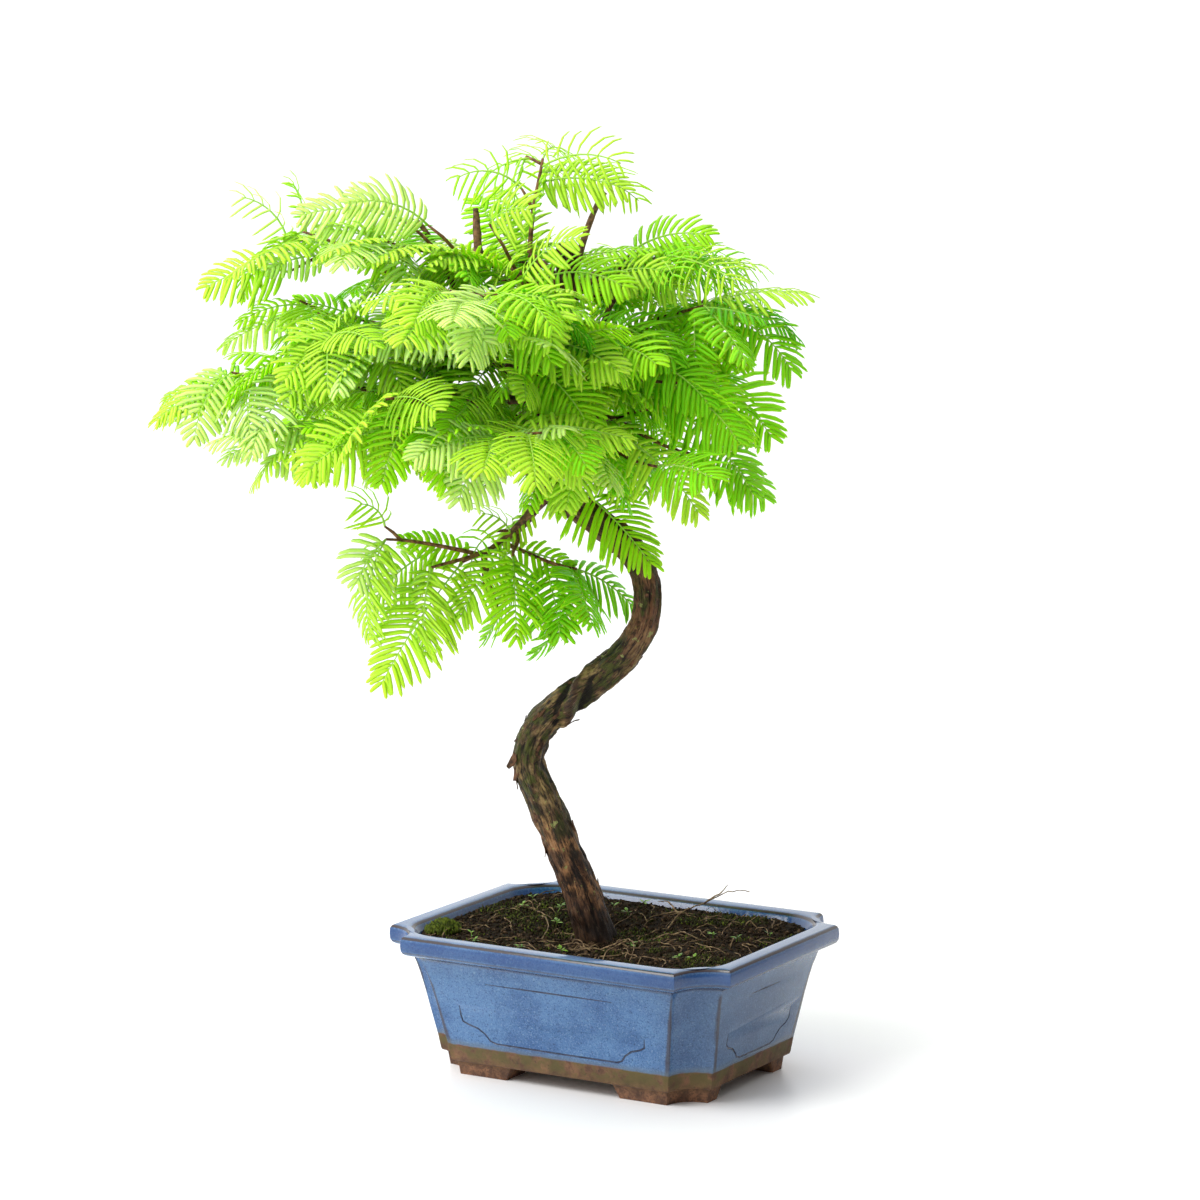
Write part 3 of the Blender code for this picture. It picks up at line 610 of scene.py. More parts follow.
earth, shader = finish("damp_soil")
place = object_place(POT_CENTRE)
lumps = grain(place, 300.0, 6.0, 0.72)
green = grain(place, 42.0, 3.0, 0.6)
soil_brown = mixed(lumps.ramp(0.35, 0.72), (0.0024, 0.0016, 0.0009), (0.046, 0.028, 0.011))
mossy = green.ramp(0.50, 0.64) * lumps.ramp(0.38, 0.60)
feed(shader, "Base Color", mixed(mossy * 0.5, soil_brown, (0.028, 0.032, 0.005)))
feed(shader, "Roughness", 0.78 + lumps * 0.2)
feed(shader, "Normal", bumped(lumps, 1.0, 0.0022))
shader.inputs["Specular IOR Level"].default_value = 0.12
soil.data.materials.append(earth)
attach(soil, "root")
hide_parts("soil")


def tube(points, radii, sides, rng=None, lumps=0.0):
    """(corners, triangles) of a closed round limb along points."""
    points = np.array(points, float)
    runs = np.gradient(points, axis=0)
    runs /= np.linalg.norm(runs, axis=1)[:, None]
    across = np.cross(runs[0], (0.31, 0.2, 0.93))
    corners = []
    for point, run, radius in zip(points, runs, radii):
        across = across - run * across.dot(run)
        across /= np.linalg.norm(across)
        beside = np.cross(run, across)
        for k in range(sides):
            angle = math.tau * k / sides
            size = radius * (1 + (rng.uniform(-lumps, lumps) if rng else 0.0))
            corners.append(point + (across * math.cos(angle) + beside * math.sin(angle)) * size)
    faces = []
    for ring in range(len(points) - 1):
        for k in range(sides):
            a, b = ring * sides + k, ring * sides + (k + 1) % sides
            faces += [(a, b, b + sides), (a, b + sides, a + sides)]
    last = (len(points) - 1) * sides
    faces += [(0, k + 1, k) for k in range(1, sides - 1)]
    faces += [(last, last + k, last + k + 1) for k in range(1, sides - 1)]
    return np.array(corners), np.array(faces)


def joined_piece(name, shapes, finishes, smooth=True):
    """One mesh from (corners, triangles, finish number) shapes, with an object that sits at the origin."""
    counts = np.cumsum([0] + [len(corners) for corners, _, _ in shapes])
    corners = np.concatenate([corners for corners, _, _ in shapes])
    faces = np.concatenate([triangles + start for (_, triangles, _), start in zip(shapes, counts)])
    slots = np.concatenate([np.full(len(triangles), slot) for _, triangles, slot in shapes])
    mesh = bpy.data.meshes.new(name)
    mesh.vertices.add(len(corners))
    mesh.vertices.foreach_set("co", corners.astype(np.float32).ravel())
    mesh.loops.add(3 * len(faces))
    mesh.loops.foreach_set("vertex_index", faces.astype(np.int32).ravel())
    mesh.polygons.add(len(faces))
    mesh.polygons.foreach_set("loop_start", np.arange(0, 3 * len(faces), 3, dtype=np.int32))
    mesh.polygons.foreach_set("material_index", slots.astype(np.int32))
    mesh.polygons.foreach_set("use_smooth", np.full(len(faces), smooth))
    mesh.update(calc_edges=True)
    mesh.validate()
    for made in finishes:
        mesh.materials.append(made)
    piece = bpy.data.objects.new(name, mesh)
    bpy.context.scene.collection.objects.link(piece)
    return piece


def on_soil(x, y, above=0.0):
    """A point on the soil, from a level spot about the pot's middle."""
    return POT_CENTRE + Vector((x, y, soil_height(x, y) + above))


def spots_on_soil(count, seed, keep=lambda x, y: True):
    """Scattered level spots inside the soil's outline."""
    draws = random.Random(seed)
    spots = []
    while len(spots) < count:
        x, y = draws.uniform(-1, 1) * RIM.x / 2, draws.uniform(-1, 1) * RIM.y / 2
        if soil_edge_distance(x, y) > 0.0006 and keep(x, y):
            spots.append((x, y))
    return spots


CRUMB_COUNT = 4800
FOOT_CRUMBS = 500
FOOT_REACH = 0.016
DARK_CRUMBS = 0.8
CRUMB_SIZE = (0.0004, 0.0017)
bpy.ops.object.select_all(action="DESELECT")
bpy.ops.mesh.primitive_ico_sphere_add(subdivisions=1, radius=1.0)
ball = bpy.context.object
crumb_corners = np.array([corner.co for corner in ball.data.vertices])
crumb_faces = np.array([face.vertices for face in ball.data.polygons])
bpy.data.objects.remove(ball)
rng = np.random.default_rng(11)
crumb_shapes = []
spots = spots_on_soil(CRUMB_COUNT, "crumbs")
spots += spots_on_soil(
    FOOT_CRUMBS,
    "foot crumbs",
    lambda x, y: (Vector((x, y)) - TREE_FOOT.xy).length < FOOT_REACH,
)
for x, y in spots:
    size = rng.uniform(*CRUMB_SIZE) * rng.uniform(0.6, 1.0)
    turn = np.array(Euler(rng.uniform(0, math.tau, 3)).to_matrix())
    rough = crumb_corners * rng.uniform(0.7, 1.3, (len(crumb_corners), 1)) * rng.uniform(0.5, 1.2, 3)
    centre = np.array(on_soil(x, y, size * 0.15))
    crumb_shapes.append((centre + rough @ turn.T * size, crumb_faces, 0 if rng.random() < DARK_CRUMBS else 1))
CRUMB_CLOUD = (900.0, 3.0, 0.7)
soil_tones = ((0.0035, 0.0022, 0.0012), (0.036, 0.021, 0.009))
bark_tones = ((0.026, 0.014, 0.007), (0.110, 0.066, 0.032))
crumb_finishes = [
    mottled("soil_crumbs", CRUMB_CLOUD, (0.35, 0.65), soil_tones, (0.75, 0.2), 0.12),
    mottled("bark_crumbs", CRUMB_CLOUD, (0.35, 0.65), bark_tones, (0.7, 0.2), 0.15),
]
crumbs = joined_piece("soil_crumbs", crumb_shapes, crumb_finishes, smooth=False)
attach(crumbs, "root")


# Moss grows in patches, thickest in a tuft by the left wall, with small leafy sprouts in it.
# Each moss plant is a cone of a few faces, and each sprout has thin stalks with small pointed leaves.
UP = Vector((0.0, 0.0, 1.0))
MOSS_COUNT = 3200
MOSS_HEIGHT = (0.0008, 0.0022)
MOSS_WIDTH = 0.00045
BRIGHT_MOSS = 0.22
MOSS_TUFT = (-0.075, -0.043, 0.0085)
TUFT_COUNT = 420
TUFT_DOME = 0.0045
TUFT_PLANT = (0.0030, 0.0008)
SPROUT_COUNT = 15
SEEN_SPROUTS = ((-0.020, -0.056), (0.062, -0.038), (0.066, -0.033))
LEAF_LENGTH = (0.0022, 0.0046)


def moss_grows(x, y):
    return noise.noise(Vector((x, y, 0.3)) * 42) > 0.12 or noise.noise(Vector((x, y, 2.0)) * 110) > 0.42


def moss_plant(root, height, width, rng):
    """(corners, triangles) of one pointed moss plant."""
    tip = root + np.array((rng.normal(0, 0.35), rng.normal(0, 0.35), 1.0)) * height
    angles = rng.uniform(0, math.tau) + np.arange(4) * math.tau / 4
    cos, sin = np.cos(angles), np.sin(angles)
    ring = root + np.column_stack([cos, sin, np.full(4, -0.4)]) * width
    belly = ring + (tip - root) * 0.45 + np.column_stack([cos, sin, np.zeros(4)]) * width * 0.25
    corners = np.concatenate([ring, belly, [tip]])
    faces = [(k, (k + 1) % 4, (k + 1) % 4 + 4) for k in range(4)]
    faces += [(k, (k + 1) % 4 + 4, k + 4) for k in range(4)]
    faces += [(4 + k, 4 + (k + 1) % 4, 8) for k in range(4)]
    faces += [(0, 2, 1), (0, 3, 2)]
    return corners, np.array(faces)


def leaf(root, way, length, width):
    """(corners, triangles) of a small closed pointed leaf."""
    side = way.cross(UP).normalized()
    above = side.cross(way).normalized() * length * 0.04
    middle = root + way * length * 0.5
    tip = root + way * length - UP * length * 0.15
    corners = [root, middle + side * width, middle - side * width, tip, middle + above, middle - above]
    faces = [(0, 1, 4), (0, 4, 2), (1, 3, 4), (4, 3, 2), (0, 5, 1), (0, 2, 5), (1, 5, 3), (5, 2, 3)]
    return np.array(corners), np.array(faces)


rng = np.random.default_rng(12)
moss_shapes = []
tuft_x, tuft_y, tuft_reach = MOSS_TUFT
for x, y in spots_on_soil(MOSS_COUNT, "moss", moss_grows):
    plant = moss_plant(np.array(on_soil(x, y)), rng.uniform(*MOSS_HEIGHT), MOSS_WIDTH, rng)
    moss_shapes.append((*plant, int(rng.random() < BRIGHT_MOSS)))
for _ in range(TUFT_COUNT):
    angle, far = rng.uniform(0, math.tau), tuft_reach * math.sqrt(rng.random())
    x, y = tuft_x + far * math.cos(angle), tuft_y + far * math.sin(angle)
    if soil_edge_distance(x, y) > -0.001:
        dome = TUFT_DOME * (1 - (far / tuft_reach) ** 2)
        moss_shapes.append((*moss_plant(np.array(on_soil(x, y, dome)), *TUFT_PLANT, rng), 1))
MOSS_TONES = {
    "dark_moss": ((0.007, 0.008, 0.0015), (0.042, 0.043, 0.006)),
    "bright_moss": ((0.024, 0.034, 0.003), (0.110, 0.140, 0.012)),
}
moss_finishes = [
    mottled(name, (420.0, 3.0, 0.6), (0.35, 0.65), tones, (0.65, 0.2), 0.15)
    for name, tones in MOSS_TONES.items()
]
moss = joined_piece("moss", moss_shapes, moss_finishes)
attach(moss, "root")

sprout_shapes = []
draws = random.Random("sprouts")
for x, y in (*spots_on_soil(SPROUT_COUNT, "sprout spots"), *SEEN_SPROUTS):
    root = on_soil(x, y)
    lean = Vector((draws.uniform(-0.5, 0.5), draws.uniform(-0.5, 0.5), 1.0)).normalized()
    height = draws.uniform(0.002, 0.005)
    top = root + lean * height
    sprout_shapes.append((*tube([root, root.lerp(top, 0.5), top], [0.00022, 0.0002, 0.00016], 4), 0))
    turn = draws.uniform(0, math.tau)
    for k in range(draws.randint(3, 5)):
        angle = turn + k * 2.4
        way = Vector((math.cos(angle), math.sin(angle), draws.uniform(0.1, 0.9))).normalized()
        length = draws.uniform(*LEAF_LENGTH)
        leaf_root = root.lerp(top, draws.uniform(0.5, 1.0))
        sprout_shapes.append((*leaf(leaf_root, way, length, length * 0.24), 0))
sprout_tones = ((0.050, 0.125, 0.008), (0.19, 0.36, 0.022))
sprout_green = mottled("sprout_green", (300.0, 2.0, 0.6), (0.35, 0.65), sprout_tones, (0.45, 0.1))
sprouts = joined_piece("sprouts", sprout_shapes, [sprout_green], smooth=False)
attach(sprouts, "root")


# Thin dry roots and fallen twigs lie on the soil, and a few arch out of it and go back in.
# One dead twig stands up behind the trunk, over the back wall.
ROOT_COUNT = 135
SEEN_ROOTS = (
    ((0.006, -0.032, 0.0), (0.018, -0.030, 0.0035), (0.032, -0.036, 0.0065), (0.040, -0.046, 0.0055),
     (0.042, -0.054, 0.0)),
    ((0.030, -0.036, 0.0060), (0.026, -0.048, 0.0030), (0.028, -0.056, 0.0)),
    ((-0.052, 0.010, 0.0), (-0.040, 0.000, 0.0022), (-0.032, -0.012, 0.0030), (-0.028, -0.026, 0.0)),
    ((-0.060, 0.018, 0.0004), (-0.045, 0.008, 0.0012), (-0.034, 0.002, 0.0004)),
    ((0.020, 0.020, 0.0), (0.022, 0.028, 0.0050), (0.033, 0.034, 0.0110), (0.044, 0.040, 0.0165),
     (0.054, 0.044, 0.0175)),
    ((0.022, 0.028, 0.0050), (0.012, 0.034, 0.0085), (0.004, 0.037, 0.0080)),
    ((0.033, 0.034, 0.0110), (0.038, 0.041, 0.0150), (0.040, 0.046, 0.0190)),
)


def spline(p, q, r, w, t):
    """The value between q and r of a smooth curve through p, q, r and w."""
    linear = (r - p) * t
    square = (2 * p - 5 * q + 4 * r - w) * t**2
    cubic = (3 * q - p - 3 * r + w) * t**3
    return 0.5 * (2 * q + linear + square + cubic)


def smooth_route(points, steps):
    ends = [points[0], *points, points[-1]]
    route = []
    for run in zip(ends, ends[1:], ends[2:], ends[3:]):
        for step in range(steps):
            route.append(tuple(spline(*values, step / steps) for values in zip(*run)))
    route.append(tuple(points[-1]))
    return route


root_shapes = []
draws = random.Random("dry roots")
root_rng = random.Random("root lumps")
for points in SEEN_ROOTS:
    route = [on_soil(x, y, above) for x, y, above in smooth_route(points, 6)]
    radii = [0.00052 - 0.00030 * i / (len(route) - 1) for i in range(len(route))]
    root_shapes.append((*tube(route, radii, 5, root_rng, 0.2), 0))
for x, y in spots_on_soil(ROOT_COUNT, "root spots"):
    angle, length = draws.uniform(0, math.tau), draws.uniform(0.008, 0.026)
    hump = draws.choice((0.0012, 0.0016, 0.0024, 0.0040))
    wander = draws.uniform(-0.9, 0.9)
    points = []
    for step in range(9):
        t = step / 8
        turn = angle + wander * t + 0.35 * math.sin(9 * t + angle)
        x, y = x + math.cos(turn) * length / 8, y + math.sin(turn) * length / 8
        if soil_edge_distance(x, y) < 0.0008:
            break
        points.append(on_soil(x, y, hump * math.sin(math.pi * t) - 0.0001))
    if len(points) > 3:
        thick = draws.uniform(0.00020, 0.00046)
        radii = [thick * (1 - 0.5 * i / len(points)) for i in range(len(points))]
        root_shapes.append((*tube(points, radii, 4, root_rng, 0.2), 0))
root_tones = ((0.070, 0.042, 0.022), (0.33, 0.225, 0.120))
dry_root = mottled("dry_root", (380.0, 4.0, 0.6), (0.35, 0.68), root_tones, (0.65, 0.2), 0.2)
roots = joined_piece("dry_roots", root_shapes, [dry_root])
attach(roots, "root")


# The trunk is one stem, bent like an S when it was young, and cut off flat at the top.
# Its bark runs in ridges along the wood, brown and flaking, with moss on the lower bend.
TRUNK_STEPS = 2
TRUNK_ROUTE = (
    (0.0000, 0.000, 0.0000, 0.0088),
    (-0.0092, 0.000, 0.0290, 0.0090),
    (-0.0222, 0.002, 0.0628, 0.0088),
    (-0.0336, 0.005, 0.0895, 0.0083),
    (-0.0337, 0.006, 0.1015, 0.0080),
    (-0.0287, 0.005, 0.1125, 0.0081),
    (-0.0192, 0.003, 0.1226, 0.0084),
    (0.0100, -0.004, 0.1455, 0.0080),
    (0.0252, -0.010, 0.1685, 0.0072),
    (0.0242, -0.006, 0.1940, 0.0071),
    (0.0072, 0.002, 0.2132, 0.0071),
    (-0.0188, 0.009, 0.2290, 0.0068),
    (-0.0290, 0.010, 0.2410, 0.0066),
    (-0.0215, 0.008, 0.2772, 0.0060),
    (-0.0165, 0.004, 0.3124, 0.0056),
    (-0.0115, 0.001, 0.3418, 0.0051),
    (-0.0127, 0.000, 0.3560, 0.0048),
)
RELIEF = 0.0013
TRUNK_FOOT = 0.024
FOOT_PRESS = 0.17
FOLD_FROM = 0.128
FOLD_TO = 0.163
FOLD_REACH = math.radians(85)
FLAKE_COUNT = 120


def in_tree(s, d, h):
    """A point beside the foot of the trunk: s across its bends, d away from their front, h up."""
    cos, sin = math.cos(TREE_TURN), math.sin(TREE_TURN)
    turned = Vector((s * cos - d * sin, s * sin + d * cos, h + SOIL_TOP))
    return POT_CENTRE + TREE_FOOT + turned


def merged_copy(node, name):
    """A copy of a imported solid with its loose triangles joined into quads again."""
    made = bpy.data.objects.new(name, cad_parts[node].data.copy())
    bpy.context.scene.collection.objects.link(made)
    take_alone(made)
    bpy.ops.object.mode_set(mode="EDIT")
    bpy.ops.mesh.select_all(action="SELECT")
    bpy.ops.mesh.remove_doubles(threshold=0.00001)
    bpy.ops.mesh.tris_convert_to_quads(face_threshold=math.radians(60), shape_threshold=math.radians(60))
    bpy.ops.object.mode_set(mode="OBJECT")
    return made


def subdivided(piece, levels):
    bpy.context.view_layer.objects.active = piece
    finer = piece.modifiers.new("finer", "SUBSURF")
    finer.levels = finer.render_levels = levels
    bpy.ops.object.modifier_apply(modifier=finer.name)


trunk = merged_copy("trunk", "bark_trunk")
subdivided(trunk, 3)
fine_route = smooth_route(TRUNK_ROUTE, 8)
centres = np.array([in_tree(s, d, h) for s, d, h, _ in fine_route])
lengths = np.concatenate([[0], np.cumsum(np.linalg.norm(np.diff(centres, axis=0), axis=1))])
skin = np.zeros(len(trunk.data.vertices) * 3)
trunk.data.vertices.foreach_get("co", skin)
skin = skin.reshape(-1, 3)
starts, runs = centres[:-1], np.diff(centres, axis=0)
gaps = skin[:, None, :] - starts[None]
share = np.clip((gaps * runs).sum(2) / (runs * runs).sum(1), 0, 1)
away = np.linalg.norm(gaps - share[..., None] * runs, axis=2)
nearest = away.argmin(1)
rows = np.arange(len(skin))
share = share[rows, nearest]
middle = starts[nearest] + share[:, None] * runs[nearest]
along = lengths[nearest] + share * np.linalg.norm(runs, axis=1)[nearest]
outward = skin - middle
thick = np.linalg.norm(outward, axis=1)
outward /= thick[:, None] + 1e-9
run_ways = runs / np.linalg.norm(runs, axis=1)[:, None]
fronts = [np.cross(run_ways[0], (0.2, 1.0, 0.1))]
for way in run_ways:
    front = fronts[-1] - way * fronts[-1].dot(way)
    fronts.append(front / np.linalg.norm(front))
fronts = np.array(fronts[1:])
across = (outward * fronts[nearest]).sum(1)
beside = (outward * np.cross(run_ways, fronts)[nearest]).sum(1)
forward = np.array((in_tree(0, -1, 0) - in_tree(0, 0, 0)).normalized())
upward = np.array((0.0, 0.0, 1.0)) - run_ways * run_ways[:, 2:]
upward /= np.linalg.norm(upward, axis=1)[:, None]
climb = np.arctan2((outward * upward[nearest]).sum(1), outward @ forward)
relief = np.zeros(len(skin))
for i, (u, v, run) in enumerate(zip(across, beside, along)):
    spiral = Vector((u, v, run * 14.0)) * 1.9
    ridges = 1 - 2.4 * abs(noise.noise(spiral + Vector((0, 0, 3.0))))
    plates = noise.fractal(Vector((u, v, run * 55.0)) * 1.6, 0.85, 2.2, 4)
    cracks = 1 - 3.0 * abs(noise.noise(Vector((u * 4.5, v * 4.5, run * 95.0))))
    relief[i] = 0.50 * ridges + 0.75 * plates - 0.35 * max(cracks, 0.0)
    if FOLD_FROM < run < FOLD_TO:
        done = (run - FOLD_FROM) / (FOLD_TO - FOLD_FROM)
        turn = math.remainder(climb[i] - FOLD_REACH * (2 * done - 1), math.tau)
        fold = 2.6 * math.exp(-((turn / 0.40) ** 2)) - 1.5 * math.exp(-(((abs(turn) - 0.85) / 0.28) ** 2))
        relief[i] += fold * math.sin(math.pi * done) ** 0.5
inner = (thick > 0.003) & (along > 0.0005)
low = np.clip(1 - along / TRUNK_FOOT, 0, 1)
skin -= outward * (thick * FOOT_PRESS * low * low * (3 - 2 * low))[:, None]
skin += outward * (relief * RELIEF * inner)[:, None]
trunk.data.vertices.foreach_set("co", skin.ravel())
height = trunk.data.attributes.new("relief", "FLOAT", "POINT")
height.data.foreach_set("value", relief.astype(np.float32))
wood_run = trunk.data.attributes.new("wood_run", "FLOAT_VECTOR", "POINT")
wood_place = np.column_stack([across * 0.008, beside * 0.008, along])
wood_run.data.foreach_set("vector", wood_place.astype(np.float32).ravel())
trunk.data.shade_smooth()


def drawn_out(wood, share, *cloud):
    """Noise that is drawn out along the wood: the smaller the share, the longer its marks."""
    return grain(Wire.node("Mapping", {}, {"Vector": wood, "Scale": (1.0, 1.0, share)}), *cloud)


bark, shader = finish("brown_bark")
place = object_place()
x, y, z = parts_of(place)
rise = Wire.node("Attribute", {"attribute_name": "relief"}, out=2)
wood = Wire.node("Attribute", {"attribute_name": "wood_run"}, out=1)
streaks = drawn_out(wood, 0.16, 1100.0, 5.0, 0.68)
strips = drawn_out(wood, 0.30, 420.0, 3.0, 0.6)
patches = drawn_out(wood, 0.55, 105.0, 4.0, 0.60)
spots = grain(place, 210.0, 3.0, 0.6)
brown = mixed(strips.ramp(0.38, 0.64), (0.014, 0.008, 0.006), (0.120, 0.058, 0.030))
tan = patches.ramp(0.47, 0.62) * (streaks * 0.5 + spots * 0.5).ramp(0.38, 0.58)
brown = mixed(tan * 0.94, brown, mixed(z.ramp(0.115, 0.145), (0.420, 0.205, 0.085), (0.360, 0.250, 0.095)))
moss_top = z.ramp(0.105, 0.150) * z.ramp(0.285, 0.215)
moss = (patches * 0.6 + spots * 0.4).ramp(0.53, 0.43) * moss_top
brown = mixed(moss * 0.88, brown, (0.070, 0.080, 0.012))
red = patches.ramp(0.42, 0.56) * z.ramp(0.200, 0.240)
brown = mixed(red * 0.75, brown, (0.190, 0.070, 0.036))
lichen = spots.ramp(0.665, 0.685) * z.ramp(0.30, 0.22)
brown = mixed(lichen * 0.85, brown, (0.30, 0.33, 0.10))
brown = mixed(rise.ramp(1.3, 1.9) * 0.8, brown, (0.050, 0.024, 0.014))
brown = mixed(streaks.ramp(0.57, 0.68) * 0.60, brown, (0.330, 0.215, 0.120))
# The grooves of the streaks and the hollows of the relief are painted near black: partly the bark's own dark
# furrows, partly painted shade in the crevices.
brown = mixed(streaks.ramp(0.48, 0.37) * 0.90, brown, (0.008, 0.005, 0.003))
brown = mixed(rise.ramp(-0.10, -0.70) * 0.94, brown, (0.006, 0.0035, 0.0025))
# The bark is darker towards the soil.
darker_towards_soil = (z - strips * 0.012).ramp(0.082, 0.066)
brown = mixed(darker_towards_soil * 0.85, brown, (0.013, 0.008, 0.006))
feed(shader, "Base Color", brown)
feed(shader, "Roughness", 0.30 + streaks * 0.35)
feed(shader, "Normal", bumped(streaks * 0.7 + strips * 0.6, 1.0, 0.0017))
shader.inputs["Specular IOR Level"].default_value = 0.22
trunk.data.materials.clear()
trunk.data.materials.append(bark)
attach(trunk, "root")
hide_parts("trunk")

# Thin plates of old bark lift off at one end, at some listed spots and at random along the middle of the
# trunk.
FLAKE_ACROSS = 3
FLAKE_ALONG = 4
FLAKE_SIZES = ((0.002, 0.0062), (0.0011, 0.0026), (0.0, 0.0009))
FLAKED_FROM = 0.03
FLAKED_TO = 0.29


def bark_flake(root, out, way, length, width, lift, rng):
    """(corners, triangles) of a thin curved plate that lies on the wood and lifts at its far end."""
    side = np.cross(way, out)
    top = []
    for i in range(FLAKE_ALONG):
        t = i / (FLAKE_ALONG - 1)
        taper = 1 - 0.45 * abs(2 * t - 0.9)
        for k in range(FLAKE_ACROSS):
            w = (k / (FLAKE_ACROSS - 1) - 0.5) * width * taper + rng.normal(0, width * 0.07)
            run = t * length + rng.normal(0, length * 0.05)
            top.append(root + way * run + side * w + out * (0.0002 + lift * t**2 - 18 * w * w))
    top = np.array(top)
    corners = np.concatenate([top, top - out * 0.0004])
    count = len(top)
    faces = []
    for i in range(FLAKE_ALONG - 1):
        for k in range(FLAKE_ACROSS - 1):
            a = i * FLAKE_ACROSS + k
            b, c, d = a + 1, a + FLAKE_ACROSS + 1, a + FLAKE_ACROSS
            faces += [(a, b, c), (a, c, d)]
            faces += [(a + count, c + count, b + count), (a + count, d + count, c + count)]
    last = (FLAKE_ALONG - 1) * FLAKE_ACROSS
    rim = list(range(FLAKE_ACROSS)) + [i * FLAKE_ACROSS + FLAKE_ACROSS - 1 for i in range(1, FLAKE_ALONG)]
    rim += [last + k for k in range(FLAKE_ACROSS - 2, -1, -1)]
    rim += [i * FLAKE_ACROSS for i in range(FLAKE_ALONG - 2, 0, -1)]
    for a, b in zip(rim, rim[1:] + rim[:1]):
        faces += [(a, a + count, b + count), (a, b + count, b)]
    return corners, np.array(faces)


rng = np.random.default_rng(21)
flake_shapes = []
SEEN_FLAKES = (
    (-0.0425, 0.0995, 0.0075, 0.0060, 0.0026),
    (-0.0425, 0.0930, 0.0060, 0.0045, 0.0020),
    (-0.0300, 0.0700, 0.0050, 0.0040, 0.0012),
    (-0.0270, 0.0530, 0.0065, 0.0050, 0.0020),
    (-0.0130, 0.1130, 0.0060, 0.0045, 0.0016),
    (0.0040, 0.1520, 0.0050, 0.0036, 0.0012),
)
chosen = []
for s, h, *sizes in SEEN_FLAKES:
    chosen.append((np.linalg.norm(skin - np.array(in_tree(s, 0.001, h)), axis=1).argmin(), *sizes))
for _ in range(FLAKE_COUNT):
    index = rng.integers(len(skin))
    if FLAKED_FROM < along[index] < FLAKED_TO and relief[index] > -0.2:
        chosen.append((index, *[rng.uniform(*sizes) for sizes in FLAKE_SIZES]))
for index, length, width, lift in chosen:
    way = run_ways[nearest[index]] * rng.choice((-1.0, 1.0)) + rng.normal(0, 0.15, 3)
    out = outward[index]
    way = way - out * way.dot(out)
    way /= np.linalg.norm(way)
    flake_shapes.append((*bark_flake(skin[index], out, way, length, width, lift, rng), 0))
flake_tones = ((0.034, 0.018, 0.010), (0.150, 0.070, 0.036))
flake_bark = mottled(
    "flake_bark", (330.0, 4.0, 0.65), (0.35, 0.66), flake_tones, (0.7, 0.2), 0.2, bump=(0.6, 0.0006)
)
flakes = joined_piece("bark_flakes", flake_shapes, [flake_bark], smooth=False)
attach(flakes, "root")


# The boughs leave the trunk on all sides, each one limb of brown wood that thins towards its tip.
# Some twigs were cut short and have no needles.
BOUGHS = (
    ("low_bough", 0.232, 190, 0.030, -0.026, 0.0030),
    ("left_bough", 0.256, 188, 0.048, 0.022, 0.0030),
    ("left_low_bough", 0.247, 208, 0.044, 0.014, 0.0027),
    ("left_middle_bough", 0.287, 200, 0.044, 0.014, 0.0027),
    ("left_back_bough", 0.280, 163, 0.046, 0.024, 0.0027),
    ("left_low_back_bough", 0.262, 146, 0.040, 0.010, 0.0025),
    ("upper_left_bough", 0.303, 176, 0.050, 0.016, 0.0028),
    ("front_left_bough", 0.273, 228, 0.038, 0.010, 0.0027),
    ("front_bough", 0.258, 262, 0.032, 0.008, 0.0025),
    ("front_right_bough", 0.254, 310, 0.030, 0.008, 0.0025),
    ("right_low_bough", 0.268, 352, 0.028, 0.002, 0.0024),
    ("right_front_bough", 0.284, 330, 0.026, 0.008, 0.0024),
    ("right_bough", 0.297, 6, 0.030, 0.014, 0.0026),
    ("right_back_bough", 0.276, 38, 0.032, 0.010, 0.0025),
    ("back_bough", 0.264, 82, 0.036, 0.012, 0.0026),
    ("back_left_bough", 0.294, 118, 0.038, 0.014, 0.0025),
    ("upper_front_bough", 0.316, 236, 0.030, 0.016, 0.0024),
    ("upper_back_bough", 0.320, 74, 0.026, 0.012, 0.0023),
    ("top_left_bough", 0.328, 184, 0.040, 0.022, 0.0024),
    ("top_right_bough", 0.332, 20, 0.022, 0.008, 0.0020),
    ("top_bough", 0.337, 170, 0.014, 0.012, 0.0020),
)
BARE_TWIGS = (
    ("leader_twig", "trunk", 0.346, 4, 0.014, 0.034, 0.0017),
    ("left_top_stub", "top_left_bough", 0.93, 176, 0.001, 0.022, 0.0024),
    ("orange_twig", "upper_left_bough", 0.80, 178, 0.024, 0.048, 0.0015),
    ("low_stub", "low_bough", 0.97, 2, 0.007, -0.030, 0.0013),
    ("right_stub", "right_bough", 0.55, 5, 0.012, 0.024, 0.0013),
)
LIMB_STEPS = 10
LIMB_SIDES = 9
EARLY_RISE = 1.5
LIMB_WEAVE = 0.03
BOUGH_TIP = 0.0014
TWIG_TIP = 0.0013


def heading(bearing):
    """The level direction of a bearing, in degrees from across the bends towards their back."""
    angle = TREE_TURN + math.radians(bearing)
    return Vector((math.cos(angle), math.sin(angle), 0.0))


def place_on(carrier, place):
    """(point, direction, radius) at a share of a limb's length, or at a height on the trunk."""
    points, radii = carrier
    if carrier is carriers["trunk"]:
        level = in_tree(0, 0, place).z
        index = [i for i in range(len(points) - 1) if points[i].z <= level < points[i + 1].z][-1]
        share = (level - points[index].z) / (points[index + 1].z - points[index].z)
    else:
        run = place * (len(points) - 1)
        index = min(int(run), len(points) - 2)
        share = run - index
    low, high = points[index], points[index + 1]
    radius = radii[index] * (1 - share) + radii[index + 1] * share
    return low.lerp(high, share), (high - low).normalized(), radius


